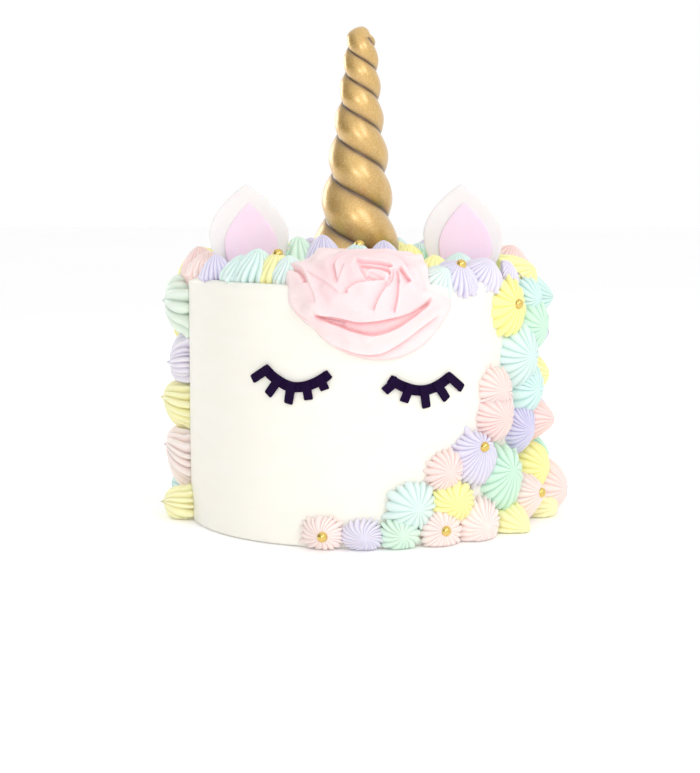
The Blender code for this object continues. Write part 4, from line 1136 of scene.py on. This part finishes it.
# heights of the petals between their rims
roseBetween = (
    (-10, 18, 14.8), (-15.6, 11.0, 14.6), (0, 18, 13.8), (10, 18, 13.4), (20, 17, 13.4), (26, 10, 12.6),
    (27, 4, 12.2), (-24, 7.4, 10), (-14, 15, 15), (-12, 7, 13.6), (-24, -2, 8.5), (-22, -6, 7.5),
    (0, -20, 6.5), (10, -21.5, 6.8), (20, -17.5, 6.8), (-9, -16, 5.8), (-25, 3, 9), (2, -7.5, 15),
    (23, -5, 13.6),
)


# signed distance to a line, positive on its right, and a share that fades out at its two ends
def lineDistance(x, q, line):
    ways = np.diff(line, axis=0)
    offX = x[:, None] - line[:-1, 0]
    offQ = q[:, None] - line[:-1, 1]
    along = np.clip((offX * ways[:, 0] + offQ * ways[:, 1]) / (ways**2).sum(axis=1), 0.0, 1.0)
    away = np.hypot(offX - along * ways[:, 0], offQ - along * ways[:, 1])
    nearest = away.argmin(axis=1)
    rows = np.arange(len(x))
    side = offX[rows, nearest] * ways[nearest, 1] - offQ[rows, nearest] * ways[nearest, 0]
    part = (nearest + along[rows, nearest]) / len(ways)
    fade = np.clip(np.minimum(part, 1.0 - part) / roseShape["fadeShare"], 0.0, 1.0)
    return away[rows, nearest] * np.sign(side), fade * fade * (3.0 - 2.0 * fade)


# relief: a smooth mound, which is the mean of all the heights weighted by e^(-distance^2 / 2 mound^2),
# and at each rim a step down by drop x e^(-distance / reach) with a small lip above it
def buildRose():
    known = [points for _, _, points in roseRims] + [roseOutline, roseBetween]
    known = np.concatenate([np.array(points, float) for points in known])
    known[:, 1] = stretched(known[:, 1])
    outline = np.array(roseOutline, float)
    outline[:, 1] = stretched(outline[:, 1])
    middle = np.array(roseShape["middle"])
    away = outline[:, :2] - middle
    angles = np.unwrap(np.arctan2(away[:, 1], away[:, 0]))
    turn = np.linspace(0.0, 2 * math.pi, roseShape["columns"], endpoint=False)
    lengths = np.hypot(away[:, 0], away[:, 1])
    onward = np.append(angles - angles[0], 2 * math.pi)
    reach = np.interp((turn - angles[0]) % (2 * math.pi), onward, np.append(lengths, lengths[0]))
    share = np.linspace(1.0, 0.004, roseShape["rings"])[:, None]
    x = middle[0] + share * reach * np.cos(turn)
    q = middle[1] + share * reach * np.sin(turn)
    flatX, flatQ = x.ravel(), q.ravel()
    total = np.zeros(len(flatX))
    weight = np.full(len(flatX), 1e-9)
    for knownX, knownQ, lift in known:
        square = (flatX - knownX) ** 2 + (flatQ - knownQ) ** 2
        near = np.exp(-square / (2 * roseShape["mound"] ** 2)) + 1e-5 / (1 + square)
        total += near * lift
        weight += near
    lift = total / weight
    cavity = np.zeros(len(flatX))
    for drop, spread, points in roseRims:
        line = np.array(points, float)[:, :2]
        line[:, 1] = stretched(line[:, 1])
        line = through(line, 6 * len(line))
        reachable = 4 * spread + 2.0
        near = (flatX > line[:, 0].min() - reachable) & (flatX < line[:, 0].max() + reachable)
        near &= (flatQ > line[:, 1].min() - reachable) & (flatQ < line[:, 1].max() + reachable)
        distance, fade = lineDistance(flatX[near], flatQ[near], line)
        step = np.clip(distance / roseShape["step"] * 0.5 + 0.5, 0.0, 1.0)
        step = step * step * (3.0 - 2.0 * step)
        under = drop * np.exp(-np.maximum(distance, 0.0) / spread)
        above = roseShape["lip"] * drop * np.exp(-((distance / roseShape["lipWidth"]) ** 2))
        lift[near] += fade * (above * (1.0 - step) - under * step)
        # painted shade: deep pink under each rim, strongest right under it
        deep = min(drop / 3.2, 1.0) * np.exp(-np.maximum(distance, 0.0) / (0.55 * spread)) * step
        cavity[near] = np.maximum(cavity[near], deep * fade)
    place = np.stack([flatX, flatQ, 0 * lift], axis=-1)
    lift = (lift + 0.22 * ripple(place, 11.0, 51) + 0.06 * ripple(place, 3.0, 52)).reshape(x.shape)
    # the outer edge comes down to the icing as a quarter circle
    edge = np.clip(1.0 - (1.0 - share) / roseShape["edge"], 0.0, 1.0)
    lift = (lift + roseShape["sunk"]) * np.sqrt(1.0 - edge**2) - roseShape["sunk"]
    grid = overEdge(x, unstretched(q), lift)
    cavity = np.clip(cavity.reshape(x.shape), 0.0, 1.0)
    # the outer petals are paler
    outer = np.clip((np.hypot(x - middle[0], q - middle[1]) - 20.0) / 6.0, 0.0, 1.0)
    tint = roseShape["outerTint"] * outer
    shell = gridShell(grid, lastTip=grid[-1].mean(axis=0), cavity=cavity, tint=tint)
    makePiece("roseButtercream", [shell], looks["rose"], ["rosette"], ["cavity", "tint"])


buildRose()


# Studio, in metres: pale floor, soft white surround and three round lights, each with its place, its
# target, its width and its power in watts
studioLights = (
    ("key", (0.5, -0.75, 0.75), (0.0, 0.0, 0.07), 0.45, 1.4),
    ("front", (-0.12, -1.0, 0.42), (0.0, 0.0, 0.12), 0.3, 1.2),
    ("fill", (-0.6, 0.55, 0.3), (-0.08, 0.0, 0.06), 0.4, 1.4),
)
cameraView = {"place": (0.0, -0.8, 0.16873), "lookDown": 7.793, "lens": 80.62, "shiftX": -4.468 / 773}


# a round light turned so that it faces its target
def areaLight(name, place, target, size, power):
    data = bpy.data.lights.new(name, "AREA")
    data.shape = "DISK"
    data.size = size
    data.energy = power
    light = bpy.data.objects.new(name, data)
    bpy.context.scene.collection.objects.link(light)
    light.location = place
    way = np.array(target) - np.array(place)
    turn = math.atan2(way[0], -way[1])
    tilt = math.atan2(np.hypot(way[0], way[1]), -way[2])
    light.rotation_euler = (tilt, 0.0, turn + math.pi)


def studio():
    bpy.ops.mesh.primitive_plane_add(size=6.0, location=(0.0, 0.0, -0.0005))
    floor = bpy.context.object
    floor.name = "floor"
    look, tree, shader, place = newMaterial("matt pale floor", Roughness=0.8, Emission_Strength=0.10)
    patches = {"Vector": place, "Scale": 1 / (300.0 * mm), "Detail": 2.0}
    patches = addNode(tree, "ShaderNodeTexNoise", patches).outputs["Fac"]
    tone = {0: patches, 6: linear("#FFFFFF"), 7: linear("#FBFBFB")}
    tone = addNode(tree, "ShaderNodeMix", tone, **colourMix).outputs[2]
    tree.links.new(tone, shader.inputs["Base Color"])
    floor.data.materials.append(look)
    world = bpy.data.worlds.new("white studio")
    bpy.context.scene.world = world
    world.use_nodes = True
    background = world.node_tree.nodes["Background"]
    # white all round, and a little darker to the left of the cake
    way = addNode(world.node_tree, "ShaderNodeTexCoord").outputs["Generated"]
    across = addNode(world.node_tree, "ShaderNodeSeparateXYZ", {"Vector": way}).outputs["X"]
    ramp = {"Value": across, "From Min": -0.95, "From Max": -0.25, "To Min": 0.3, "To Max": 1.0}
    level = addNode(world.node_tree, "ShaderNodeMapRange", ramp).outputs["Result"]
    world.node_tree.links.new(level, background.inputs["Strength"])
    background.inputs["Color"].default_value = (1.0, 1.0, 1.0, 1.0)
    for light in studioLights:
        areaLight(*light)
    bpy.context.scene.view_settings.view_transform = "Standard"
    camera = bpy.data.cameras.new("camera")
    camera.lens = cameraView["lens"]
    camera.shift_x = cameraView["shiftX"]
    shot = bpy.data.objects.new("camera", camera)
    shot.location = cameraView["place"]
    shot.rotation_euler = (math.radians(90.0 - cameraView["lookDown"]), 0.0, 0.0)
    bpy.context.scene.collection.objects.link(shot)
    bpy.context.scene.camera = shot


studio()
